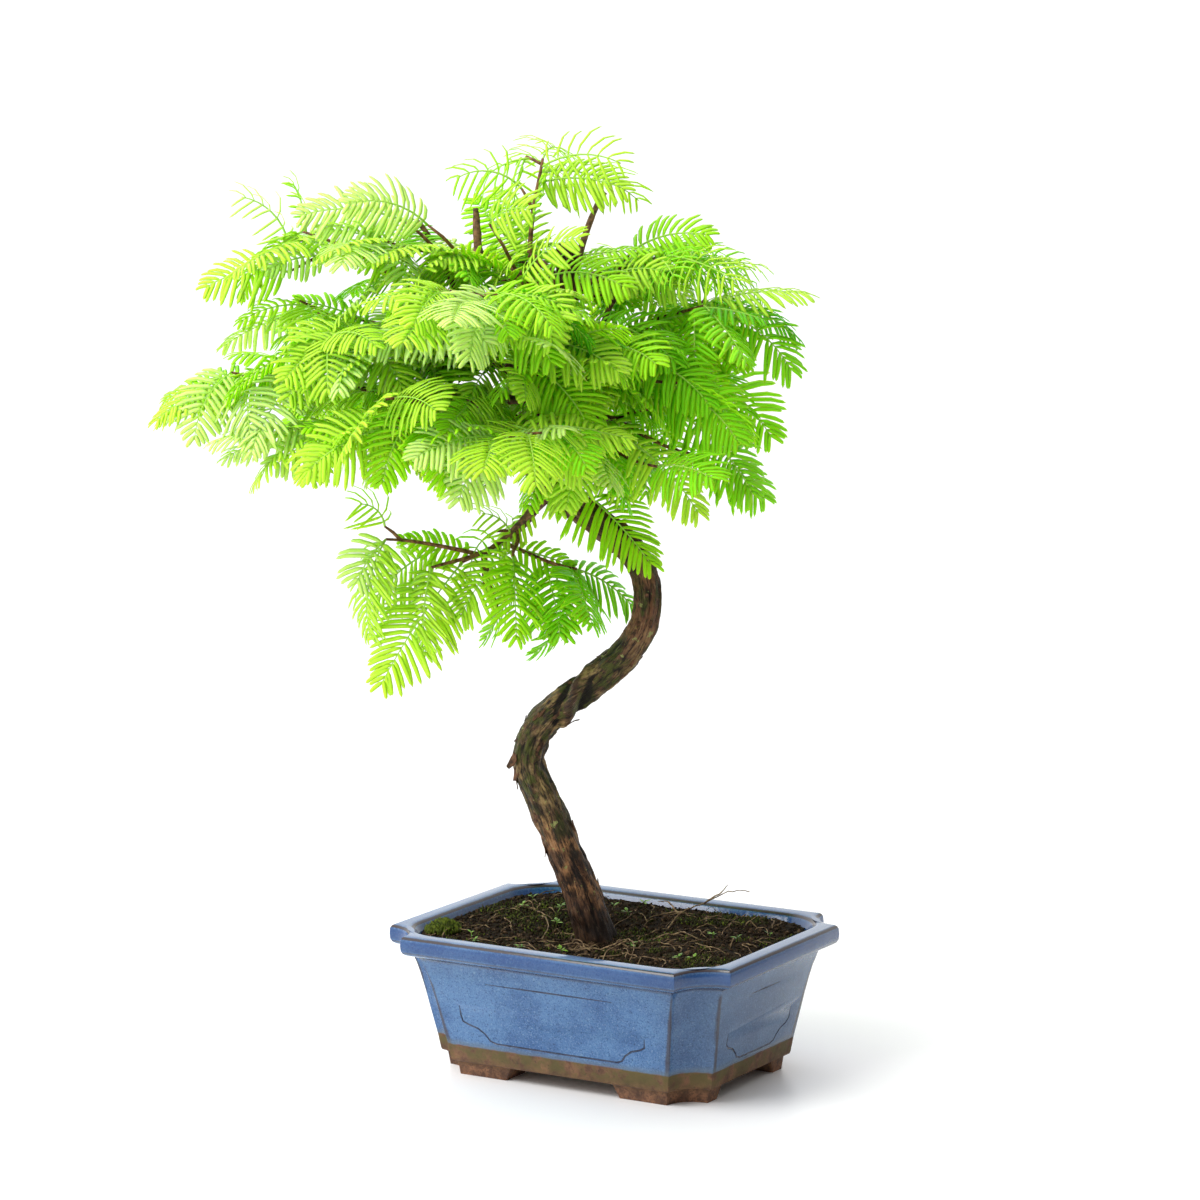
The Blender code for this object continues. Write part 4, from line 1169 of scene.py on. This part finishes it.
def limb_route(carrier, place, bearing, reach, rise, steps):
    """Points of a limb that leaves its carrier on a bearing, rises early and then levels out."""
    level = heading(bearing)
    direction = (level * reach + UP * rise * EARLY_RISE).normalized()
    point, along, thickness = place_on(carrier, place)
    lean = direction.dot(along)
    tip = carrier is not carriers["trunk"] and place == 1.0 and lean > 0.5
    way = direction if tip else (direction - along * lean).normalized()
    start = point if tip else point + way * thickness
    side = UP.cross(level)
    points = [start - way * (0.001 if tip else thickness * 0.6)]
    for step in range(steps + 1):
        t = step / steps
        lift = rise * (EARLY_RISE * t - (EARLY_RISE - 1) * t * t)
        weave = side * LIMB_WEAVE * reach * math.sin(math.tau * t)
        points.append(start + level * reach * t + UP * lift + weave)
    return points


rough_route = smooth_route(TRUNK_ROUTE, TRUNK_STEPS)
carriers = {"trunk": ([in_tree(s, d, h) for s, d, h, _ in rough_route], [r for _, _, _, r in rough_route])}
limb_shapes = []
rng = random.Random("limbs")
limbs = [(name, "trunk", height, *rest, BOUGH_TIP) for name, height, *rest in BOUGHS]
limbs += [(*twig, TWIG_TIP) for twig in BARE_TWIGS]
for name, carrier, place, bearing, reach, rise, radius, tip in limbs:
    points = limb_route(carriers[carrier], place, bearing, reach, rise, LIMB_STEPS)
    radii = [radius * 1.25] + [radius + (tip - radius) * i / LIMB_STEPS for i in range(LIMB_STEPS + 1)]
    radii[1] = radius * 1.12
    carriers[name] = (points[1:], radii[1:])
    limb_shapes.append((*tube(points, radii, LIMB_SIDES, rng, 0.12), 0))
TWIG_CLOUD = (420.0, 4.0, 0.6)
twig_tones = ((0.060, 0.027, 0.013), (0.290, 0.135, 0.060))
twig_bark = mottled("twig_bark", TWIG_CLOUD, (0.35, 0.68), twig_tones, (0.62, 0.25), bump=(0.5, 0.0006))
boughs = joined_piece("boughs_and_cut_twigs", limb_shapes, [twig_bark])
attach(boughs, "root")
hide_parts(*[name for name, *_ in BOUGHS + BARE_TWIGS])


# Each mass of foliage is a thin stem that goes on from its bough, with side twigs and flat sprays.
# A spray is a green shoot with some eighteen pairs of soft needles that arch over and sag.
MASSES = (
    ("low_left_mass", "low_bough", 1.0, 192, 0.048, 0.010, -34),
    ("low_right_mass", "low_bough", 0.62, 348, 0.036, -0.012, -38),
    ("low_hanging_mass", "low_bough", 0.86, 214, 0.034, -0.006, -46),
    ("low_middle_mass", "low_bough", 0.40, 262, 0.018, -0.010, -44),
    ("far_left_mass", "left_bough", 1.0, 186, 0.086, 0.012, 8),
    ("left_low_mass", "left_low_bough", 1.0, 200, 0.070, 0.006, 2),
    ("left_middle_mass", "left_middle_bough", 1.0, 197, 0.070, 0.010, -2),
    ("left_back_mass", "left_back_bough", 1.0, 166, 0.074, 0.014, 2),
    ("left_low_back_mass", "left_low_back_bough", 1.0, 150, 0.066, 0.004, -8),
    ("upper_left_mass", "upper_left_bough", 1.0, 175, 0.070, 0.042, 4),
    ("front_left_mass", "front_left_bough", 1.0, 224, 0.066, 0.004, -6),
    ("front_mass", "front_bough", 1.0, 256, 0.056, 0.004, -8),
    ("front_right_mass", "front_right_bough", 1.0, 316, 0.048, -0.010, -30),
    ("right_low_mass", "right_low_bough", 1.0, 350, 0.040, -0.018, -36),
    ("right_front_mass", "right_front_bough", 1.0, 332, 0.040, -0.002, -14),
    ("right_mass", "right_bough", 1.0, 2, 0.040, 0.012, -8),
    ("right_back_mass", "right_back_bough", 1.0, 36, 0.050, 0.002, -14),
    ("back_mass", "back_bough", 1.0, 86, 0.060, 0.004, -10),
    ("back_left_mass", "back_left_bough", 1.0, 122, 0.062, 0.010, -6),
    ("upper_front_mass", "upper_front_bough", 1.0, 244, 0.050, 0.004, -2),
    ("upper_back_mass", "upper_back_bough", 1.0, 66, 0.050, 0.006, -4),
    ("top_left_mass", "top_left_bough", 1.0, 186, 0.054, 0.004, 4),
    ("top_right_mass", "top_right_bough", 1.0, 20, 0.034, 0.006, 2),
    ("top_mass", "top_bough", 1.0, 60, 0.014, 0.045, 16),
    ("low_front_mass", "trunk", 0.246, 305, 0.024, -0.004, -40),
    ("low_back_mass", "trunk", 0.250, 62, 0.034, 0.004, -20),
    ("heart_front_mass", "trunk", 0.293, 266, 0.044, 0.008, -6),
    ("heart_right_mass", "trunk", 0.306, 322, 0.036, 0.006, -8),
    ("heart_back_mass", "trunk", 0.334, 128, 0.040, 0.010, 0),
)
STEM_STEPS = 8
STEM_RADIUS = 0.0013
STEM_TIP = 0.0007
SPRAY_LENGTH = (0.044, 0.068)
SPRAY_BEND = (12.0, 62.0)
SPRAY_ROLL = 48.0
SPRAY_ANGLE = (26.0, 74.0)
SLOPE_SPREAD = 20.0
PAIR_GAP = 0.0185
HEART_GAP = 0.0145
BOUGH_SPRAYS = (0.36, 0.62, 0.86)
SIDE_TWIG_SHARE = 0.32
SIDE_TWIG_LENGTH = (0.012, 0.026)
CROWN_FLOOR = 0.238
RIGHT_FLOOR = 0.218
LOW_FLOOR = 0.128
TRIES = 8
REACH_SLACK = 0.008
TRUNK_CLEAR = 0.002
CROWN_TRUNK = 0.0062
AXIS_STEPS = 24
GROWN = {"gap": 0.0031, "length": 0.0225, "width": 0.0023, "tilt": (0.16, 0.06), "sag": (0.26, 0.40)}
YOUNG = {"gap": 0.0050, "length": 0.023, "width": 0.0013, "tilt": (0.35, 0.12), "sag": (0.45, 0.75)}
FEWEST_PAIRS = 6
NEEDLE_RISE = 0.00022
NEEDLE_SWEEP = (82, 44)
NEEDLE_FORWARD = (0.02, 0.24)
NEEDLE_DROOP = 0.12
SPRAY_SIZE = (0.78, 1.08)
SHOOT_RADIUS = 0.00055
SHOOT_STEPS = 9
# Five greens of the needles, each spray taking one by its place: the paler ones painted light at the left,
# front and top, the deeper ones painted shade at the right and behind.
GREENS = (
    ("pale_green", (0.52, 0.88, 0.18)),
    ("fresh_green", (0.43, 0.87, 0.040)),
    ("leaf_green", (0.310, 0.83, 0.010)),
    ("mid_green", (0.210, 0.70, 0.008)),
    ("deep_green", (0.110, 0.48, 0.007)),
)
# How the place sets the green, as painted light and shade; the random spread on top is the needles' own
# variation.
GREEN_MIDDLE = 2.10
GREEN_ACROSS = 0.12
GREEN_BACK = 0.13
GREEN_TOP = 0.32
GREEN_RISE = 0.08
GREEN_CHANCE = 0.85

needle_finishes = []
for name, colour in GREENS:
    made, shader = finish(name + "_needles")
    shader.inputs["Base Color"].default_value = (*colour, 1.0)
    shader.inputs["Roughness"].default_value = 0.45
    shader.inputs["Specular IOR Level"].default_value = 0.16
    shader.inputs["Subsurface Weight"].default_value = 0.6
    shader.inputs["Subsurface Radius"].default_value = (0.8, 1.0, 0.12)
    shader.inputs["Subsurface Scale"].default_value = 0.002
    needle_finishes.append(made)
shoot_green, shader = finish("green_shoot")
shader.inputs["Base Color"].default_value = (0.42, 0.72, 0.10, 1.0)
shader.inputs["Roughness"].default_value = 0.5
shader.inputs["Specular IOR Level"].default_value = 0.12

STATIONS = np.array([0.0, 0.22, 0.66, 0.92])
WIDTHS = np.array([0.45, 1.0, 1.0, 0.74])


def spray_axis(root, level, slope, bend, length, shares):
    """(points, directions) on the arching shoot of a spray."""
    angles = np.radians(slope - bend * (np.arange(AXIS_STEPS) + 0.5) / AXIS_STEPS)
    runs = np.cos(angles)[:, None] * np.array(level) + np.sin(angles)[:, None] * np.array(UP)
    points = np.array(root) + np.concatenate([[[0, 0, 0]], np.cumsum(runs, axis=0)]) * length / AXIS_STEPS
    at = np.linspace(0, 1, AXIS_STEPS + 1)
    found = np.column_stack([np.interp(shares, at, points[:, i]) for i in range(3)])
    turned = np.radians(slope - bend * shares)
    ways = np.cos(turned)[:, None] * np.array(level) + np.sin(turned)[:, None] * np.array(UP)
    return found, ways


def needle_reach(shares):
    """The length of the needles along a spray, as a share of the longest."""
    rising = 0.62 + 0.38 * np.clip(shares / 0.30, 0, 1)
    falling = 1 - 0.72 * np.clip((shares - 0.30) / 0.70, 0, 1) ** 1.7
    return rising * falling


def needles(root, level, slope, bend, length, roll, rng, scale=1.0, young=False):
    """(corners, triangles) of the two ranks of needles on a spray: closed blades with a raised midrib."""
    form = YOUNG if young else GROWN
    pairs = max(FEWEST_PAIRS, int(length / form["gap"]))
    shares = np.repeat((np.arange(pairs) + 0.6) / pairs * 0.97 + 0.03, 2)
    sides = np.tile([1.0, -1.0], pairs)
    shares = np.clip(shares + rng.normal(0, 0.006, len(shares)), 0.01, 1.0)
    roots, ways = spray_axis(root, level, slope, bend, length, shares)
    flat = np.cross(UP, level)
    beside = flat * math.cos(roll) + np.cross(ways, flat) * math.sin(roll)
    face = np.cross(ways, beside)
    long = form["length"] * (1.0 if young else scale) * needle_reach(shares)
    long = long * rng.uniform(0.88, 1.08, len(shares))
    first_sweep, sweep_loss = NEEDLE_SWEEP
    sweep = np.radians(first_sweep - sweep_loss * shares**1.7 + rng.normal(0, 3, len(shares)))
    tilt = rng.normal(*form["tilt"], len(shares))
    start = beside * (np.sin(sweep) * sides)[:, None] + ways * np.cos(sweep)[:, None] + face * tilt[:, None]
    sag = rng.uniform(*form["sag"], len(shares))
    forward = rng.uniform(*NEEDLE_FORWARD, len(shares))
    u = np.append(STATIONS, 1.0)
    path = roots[:, None] + long[:, None, None] * (
        start[:, None] * u[None, :, None]
        - face[:, None] * (sag[:, None] * u[None] ** 2)[..., None]
        + ways[:, None] * (forward[:, None] * u[None] ** 2)[..., None]
        - np.array(UP) * (NEEDLE_DROOP * u[None] ** 2)[..., None]
    )
    run = np.gradient(path, axis=1)
    run /= np.linalg.norm(run, axis=2)[..., None]
    across = np.cross(run, face[:, None])
    across /= np.linalg.norm(across, axis=2)[..., None]
    out = np.cross(across, run)
    half = form["width"] / 2 * WIDTHS
    ring = path[:, :4, None] + np.stack([
        across[:, :4] * half[None, :, None],
        out[:, :4] * NEEDLE_RISE,
        -across[:, :4] * half[None, :, None],
        -out[:, :4] * NEEDLE_RISE,
    ], axis=2)
    corners = np.concatenate([ring.reshape(len(shares), 16, 3), path[:, 4:5]], axis=1)
    block = []
    for station in range(3):
        for k in range(4):
            a, b = station * 4 + k, station * 4 + (k + 1) % 4
            block += [(b, a, a + 4), (b, a + 4, b + 4)]
    block += [(12 + (k + 1) % 4, 12 + k, 16) for k in range(4)]
    block += [(0, 1, 2), (0, 2, 3)]
    block = np.array(block)
    faces = (block[None] + 17 * np.arange(len(shares))[:, None, None]).reshape(-1, 3)
    return corners.reshape(-1, 3), faces


class Spread:
    """Where a mass may reach: its own solid's box and a little more, above the floor, off the trunk."""

    def __init__(self, name, carrier):
        boxes = [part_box(node) for node in (name, carrier) if node != "trunk"]
        self.low = np.min([low for low, _ in boxes], axis=0) - REACH_SLACK
        self.high = np.max([high for _, high in boxes], axis=0) + REACH_SLACK
        floor = RIGHT_FLOOR if "right" in name else CROWN_FLOOR
        if carrier == "low_bough":
            floor = LOW_FLOOR
        self.low[2] = max(self.low[2], in_tree(0, 0, floor).z)

    def holds(self, corners):
        if (corners.min(0) < self.low).any() or (corners.max(0) > self.high).any():
            return False
        sample = corners[::9]
        apart = np.linalg.norm(sample[:, None] - centres[None], axis=2)
        return apart.min() > CROWN_TRUNK + TRUNK_CLEAR


def in_picture(point):
    """A point's place across the bends, away from their front and above the soil."""
    tree = point - in_tree(0, 0, 0)
    cos, sin = math.cos(TREE_TURN), math.sin(TREE_TURN)
    return tree.x * cos + tree.y * sin, tree.y * cos - tree.x * sin, tree.z


def green_by_light(point, rng):
    """Painted light and shade: a spray's green is paler at the lit left, front and top, deeper in shade at
    the right and behind.
    """
    s, d, h = in_picture(point)
    depth = GREEN_MIDDLE + s / GREEN_ACROSS + d / GREEN_BACK - max(0.0, h - GREEN_TOP) / GREEN_RISE
    depth += rng.normal(0, GREEN_CHANCE)
    return int(np.clip(round(depth), 0, len(GREENS) - 1))


def spray(root, level, slope, rng, draws, room, scale=1.0, young=False):
    """The needles and the shoot of one spray, if it keeps to the room in one of several tries."""
    for attempt in range(TRIES):
        wide = SLOPE_SPREAD * (1 + attempt / 3)
        lean = slope + draws.uniform(-wide, wide)
        length = draws.uniform(*SPRAY_LENGTH) * scale * (1 - attempt * 0.04)
        bend = draws.uniform(*SPRAY_BEND)
        roll = math.radians(draws.uniform(-SPRAY_ROLL, SPRAY_ROLL))
        size = draws.uniform(*SPRAY_SIZE) * scale**0.5
        corners, faces = needles(root, level, lean, bend, length, roll, rng, size, young)
        if not room.holds(corners):
            continue
        shares = np.linspace(0, 1, SHOOT_STEPS)
        points, _ = spray_axis(root, level, lean, bend, length, shares)
        shoot = tube(points, SHOOT_RADIUS * (1 - 0.6 * shares), 4)
        middle = Vector(points[len(points) // 2])
        shoot_shapes.append((*shoot, 0))
        return [(corners, faces, green_by_light(middle, rng))]
    return []


def turned(level, degrees):
    angle = math.radians(degrees)
    return level * math.cos(angle) + UP.cross(level) * math.sin(angle)


def side_growth(root, level, slope, rng, draws, room, size=1.0, young=False):
    """One spray straight on its stem, or a side twig with three smaller ones."""
    if draws.random() > SIDE_TWIG_SHARE:
        return spray(root, level, slope, rng, draws, room, size, young)
    lean = math.radians(slope * 0.4 + draws.uniform(-14, 22))
    way = level * math.cos(lean) + UP * math.sin(lean)
    tip = root + way * draws.uniform(*SIDE_TWIG_LENGTH) * size
    grown = []
    for share, side, scale in ((1.0, 0, 0.9), (0.75, 1, 0.8), (0.65, -1, 0.8)):
        ahead = turned(level, side * draws.uniform(*SPRAY_ANGLE))
        grown += spray(root.lerp(tip, share), ahead, slope, rng, draws, room, scale * size, young)
    if grown:
        twig_shapes.append((*tube([root, root.lerp(tip, 0.5), tip], [0.0009, 0.0008, 0.0006], 5), 0))
    return grown


def along_limb(points, share):
    """(point, level direction) at a share of a limb's steps."""
    run = share * (len(points) - 1)
    index = min(int(run), len(points) - 2)
    ahead = points[index + 1] - points[index]
    return points[index].lerp(points[index + 1], run - index), Vector((ahead.x, ahead.y, 0.0)).normalized()


# Sprays that show best from the front: mass, root across and up, tip across and up, how far the tip
# comes forward, arch in degrees, and its kind: broad ones show their face, edge ones lie level, young
# ones have the thin long needles of a new shoot, and curly ones are short needles on the wood itself.
FRONT_SPRAYS = (
    ("low_left_mass", -0.104, 0.214, -0.118, 0.190, 0.004, 30, "broad"),
    ("low_left_mass", -0.104, 0.217, -0.116, 0.229, 0.004, 85, "young"),
    ("low_left_mass", -0.058, 0.205, -0.096, 0.210, 0.002, 6, "curly"),
    ("low_left_mass", -0.076, 0.202, -0.113, 0.174, -0.010, 40, "broad"),
    ("low_left_mass", -0.066, 0.198, -0.106, 0.142, 0.024, 14, "broad"),
    ("low_middle_mass", -0.050, 0.212, -0.062, 0.190, 0.006, 80, "young"),
    ("low_middle_mass", -0.047, 0.200, -0.036, 0.172, -0.014, 30, "broad"),
    ("low_right_mass", -0.030, 0.228, -0.050, 0.202, 0.004, 4, "curly"),
    ("low_right_mass", -0.044, 0.204, -0.056, 0.222, 0.006, 90, "young"),
    ("low_right_mass", -0.040, 0.204, -0.012, 0.195, 0.004, 6, "curly"),
    ("low_right_mass", -0.026, 0.198, -0.018, 0.162, 0.012, 25, "broad"),
    ("low_right_mass", -0.017, 0.196, 0.020, 0.171, -0.006, 45, "broad"),
    ("low_front_mass", -0.021, 0.243, 0.027, 0.200, 0.026, 24, "broad"),
    ("upper_left_mass", -0.143, 0.356, -0.147, 0.386, 0.004, 35, "young"),
    ("upper_left_mass", -0.150, 0.356, -0.172, 0.380, 0.008, 70, "young"),
    ("upper_left_mass", -0.150, 0.342, -0.190, 0.336, 0.010, 45, "broad"),
    ("top_left_mass", -0.092, 0.368, -0.141, 0.372, 0.006, 40, "broad"),
    ("top_left_mass", -0.080, 0.366, -0.118, 0.378, 0.016, 60, "broad"),
    ("top_left_mass", -0.050, 0.366, -0.030, 0.374, 0.016, 55, "broad"),
    ("top_mass", -0.034, 0.382, -0.066, 0.388, 0.006, 80, "young"),
    ("top_mass", -0.030, 0.362, -0.023, 0.392, 0.004, 6, "curly"),
    ("top_right_mass", -0.010, 0.348, 0.030, 0.352, 0.006, 12, "curly"),
    ("upper_left_mass", -0.112, 0.352, -0.150, 0.360, 0.004, 12, "curly"),
    ("upper_left_mass", -0.132, 0.350, -0.160, 0.344, 0.012, 30, "curly"),
    ("left_back_mass", -0.110, 0.318, -0.148, 0.327, 0.002, 10, "curly"),
    ("left_middle_mass", -0.060, 0.300, -0.094, 0.305, 0.010, 12, "curly"),
    ("right_mass", 0.016, 0.312, 0.050, 0.320, 0.006, 12, "curly"),
    ("top_mass", -0.022, 0.392, 0.015, 0.394, 0.006, 60, "young"),
    ("top_mass", -0.024, 0.384, 0.016, 0.382, 0.010, 40, "broad"),
    ("heart_front_mass", -0.045, 0.318, -0.104, 0.312, 0.020, 45, "broad"),
    ("heart_front_mass", -0.036, 0.304, -0.002, 0.272, 0.024, 45, "broad"),
    ("heart_front_mass", -0.030, 0.312, 0.012, 0.300, 0.022, 45, "broad"),
    ("upper_front_mass", -0.050, 0.335, -0.020, 0.306, 0.026, 45, "broad"),
    ("upper_front_mass", -0.030, 0.338, 0.016, 0.338, 0.020, 60, "broad"),
    ("upper_front_mass", -0.034, 0.340, -0.006, 0.362, 0.016, 55, "broad"),
    ("heart_right_mass", -0.004, 0.318, 0.040, 0.300, 0.020, 50, "broad"),
    ("left_middle_mass", -0.070, 0.300, -0.120, 0.302, 0.020, 40, "broad"),
    ("far_left_mass", -0.165, 0.292, -0.213, 0.272, 0.004, 36, "edge"),
    ("far_left_mass", -0.140, 0.286, -0.176, 0.304, 0.012, 55, "edge"),
    ("left_middle_mass", -0.080, 0.300, -0.070, 0.268, 0.028, 40, "broad"),
    ("front_mass", -0.046, 0.272, -0.064, 0.243, 0.018, 40, "broad"),
    ("front_mass", -0.040, 0.274, -0.006, 0.252, 0.018, 45, "broad"),
    ("right_mass", 0.050, 0.318, 0.106, 0.329, 0.008, 35, "edge"),
    ("right_mass", 0.056, 0.318, 0.098, 0.292, 0.016, 55, "broad"),
    ("right_mass", 0.030, 0.314, 0.052, 0.284, 0.026, 50, "broad"),
    ("right_front_mass", 0.030, 0.290, 0.070, 0.262, 0.020, 50, "broad"),
    ("right_back_mass", 0.050, 0.290, 0.090, 0.252, 0.010, 40, "broad"),
    ("right_low_mass", 0.038, 0.274, 0.078, 0.232, 0.012, 35, "broad"),
    ("front_right_mass", 0.018, 0.262, 0.050, 0.229, 0.014, 30, "broad"),
    ("top_right_mass", 0.020, 0.350, 0.058, 0.358, 0.006, 50, "broad"),
    ("top_left_mass", -0.086, 0.344, -0.114, 0.354, 0.018, 50, "broad"),
    ("upper_front_mass", -0.084, 0.324, -0.050, 0.318, 0.026, 45, "broad"),
    ("heart_right_mass", 0.006, 0.302, -0.028, 0.284, 0.028, 45, "broad"),
    ("front_mass", -0.046, 0.270, -0.084, 0.264, 0.024, 40, "broad"),
    ("left_middle_mass", -0.104, 0.306, -0.146, 0.313, 0.014, 50, "broad"),
    ("right_front_mass", 0.018, 0.302, 0.056, 0.280, 0.022, 45, "broad"),
    ("left_low_mass", -0.130, 0.268, -0.184, 0.265, 0.012, 36, "edge"),
    ("left_low_mass", -0.120, 0.268, -0.154, 0.254, 0.020, 40, "broad"),
    ("front_left_mass", -0.096, 0.274, -0.136, 0.256, 0.018, 40, "broad"),
)
FRONT_ROLLS = {"broad": (28.0, 60.0), "young": (28.0, 60.0), "edge": (-6.0, 14.0), "curly": (20.0, 60.0)}
CURLY_SIZE = 0.55
BARE_TWIG = ((-0.0560, 0.199), (-0.0555, 0.187), (-0.0505, 0.170))
BARE_TWIG_PLACE = 0.62
BARE_TWIG_FORWARD = 0.004
NEAR_LIMB = 0.006


def front_spray(limbs, root_s, root_h, tip_s, tip_h, forward, bend, kind, rng):
    """A spray from near one of the limbs towards a tip, turned so that its face shows from the front.
    A short twig joins it to the limb, and leaves the limb towards its tip."""
    spots = [(points, step / 40) for points in limbs for step in range(4, 41)]
    wanted = (root_s, root_h)
    points, share = min(spots, key=lambda spot: math.dist(in_picture(along_limb(*spot)[0])[::2], wanted))
    start = along_limb(points, share)[0]
    root = in_tree(root_s, in_picture(start)[1] - forward * 0.2, root_h)
    apart = (root - start).length
    if apart < NEAR_LIMB:
        root = start
    else:
        start = along_limb(points, max(0.0, share - 1.2 * apart / (points[-1] - points[0]).length))[0]
        bow = start.lerp(root, 0.5) + UP * 0.08 * apart
        twig_shapes.append((*tube([start, bow, root], [0.0010, 0.0009, 0.0006], 5), 0))
    reach = in_tree(tip_s, in_picture(root)[1] - forward, tip_h) - root
    level = Vector((reach.x, reach.y, 0.0))
    slope = math.degrees(math.atan2(reach.z, level.length)) + bend / 2
    length = reach.length * (1 + (math.radians(bend) ** 2) / 24)
    level.normalize()
    roll = math.radians(rng.uniform(*FRONT_ROLLS[kind])) * (1 if tip_s > root_s else -1)
    size = CURLY_SIZE if kind == "curly" else min(1.12, max(0.90, length / 0.052))
    corners, faces = needles(root, level, slope, bend, length, roll, rng, size, kind == "young")
    shares = np.linspace(0, 1, SHOOT_STEPS)
    points, _ = spray_axis(root, level, slope, bend, length, shares)
    shoot_shapes.append((*tube(points, SHOOT_RADIUS * (1.1 - 0.6 * shares), 4), 0))
    # Front sprays take the painted light and shade of their place, but never the deepest painted shade.
    return corners, faces, min(green_by_light(Vector(points[4]), rng), 3)


YOUNG_MASSES = ("top_mass", "top_right_mass")
OPEN_MASSES = {
    "low_left_mass": 0, "low_right_mass": 1, "low_hanging_mass": 0, "low_middle_mass": 1,
    "low_front_mass": 0, "low_back_mass": 1, "top_mass": 1,
    "right_mass": 1, "right_low_mass": 0, "right_back_mass": 1, "right_front_mass": 0,
    "front_right_mass": 0, "far_left_mass": 3, "left_low_mass": 2, "upper_left_mass": 2,
    "left_back_mass": 3, "left_low_back_mass": 3,
}
twig_shapes = []
shoot_shapes = []
for name, carrier, place, bearing, reach, rise, slope in MASSES:
    draws = random.Random(name)
    rng = np.random.default_rng(sum(ord(letter) for letter in name))
    room = Spread(name, carrier)
    stem = limb_route(carriers[carrier], place, bearing, reach, rise, STEM_STEPS)
    taper = [STEM_RADIUS + (STEM_TIP - STEM_RADIUS) * i / STEM_STEPS for i in range(STEM_STEPS + 1)]
    radii = [STEM_RADIUS] + taper
    twig_shapes.append((*tube(stem, radii, 6), 0))
    stem = stem[1:]
    length = sum((b - a).length for a, b in zip(stem, stem[1:]))
    end, ahead = along_limb(stem, 1.0)
    young = name in YOUNG_MASSES
    ahead = turned(ahead, draws.uniform(-12, 12))
    shapes = spray(end, ahead, slope, rng, draws, room, 1.0, young)
    gap = HEART_GAP if name.startswith("heart_") else PAIR_GAP
    pairs = OPEN_MASSES.get(name, max(2, round(length / gap)))
    for pair in range(pairs):
        for side in (1, -1):
            root, ahead = along_limb(stem, 0.97 - 0.9 * (pair + draws.uniform(0, 0.5)) / pairs)
            ahead = turned(ahead, draws.uniform(*SPRAY_ANGLE) * side)
            shapes += side_growth(root, ahead, slope, rng, draws, room, 1.0, young)
    if place == 1.0 and carrier != "trunk" and not name.startswith("low_"):
        for share in BOUGH_SPRAYS:
            for side in (1, -1):
                root, ahead = along_limb(carriers[carrier][0], share + draws.uniform(-0.05, 0.05))
                ahead = turned(ahead, draws.uniform(*SPRAY_ANGLE) * side)
                shapes += side_growth(root, ahead, max(slope, -30) + 6, rng, draws, room, 0.9)
    limbs = [stem] + ([carriers[carrier][0]] if carrier != "trunk" else [])
    for mass, *seen in FRONT_SPRAYS:
        if mass == name:
            shapes.append(front_spray(limbs, *seen, rng))
    foliage = joined_piece(name.replace("_mass", "_needles"), shapes, needle_finishes)
    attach(foliage, "root")
    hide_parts(name)

twig_root = along_limb(carriers["low_bough"][0], BARE_TWIG_PLACE)[0]
twig_depth = in_picture(twig_root)[1] - BARE_TWIG_FORWARD
twig_route = [twig_root] + [in_tree(s, twig_depth, h) for s, h in BARE_TWIG]
twig_shapes.append((*tube(twig_route, [0.0011, 0.0010, 0.0009, 0.0007], 6), 0))
young_tones = ((0.085, 0.036, 0.015), (0.330, 0.155, 0.060))
young_bark = mottled("young_twig_bark", TWIG_CLOUD, (0.35, 0.68), young_tones, (0.55, 0.25), 0.25)
twigs = joined_piece("fine_twigs", twig_shapes, [young_bark])
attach(twigs, "root")
shoots = joined_piece("green_shoots", shoot_shapes, [shoot_green])
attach(shoots, "root")
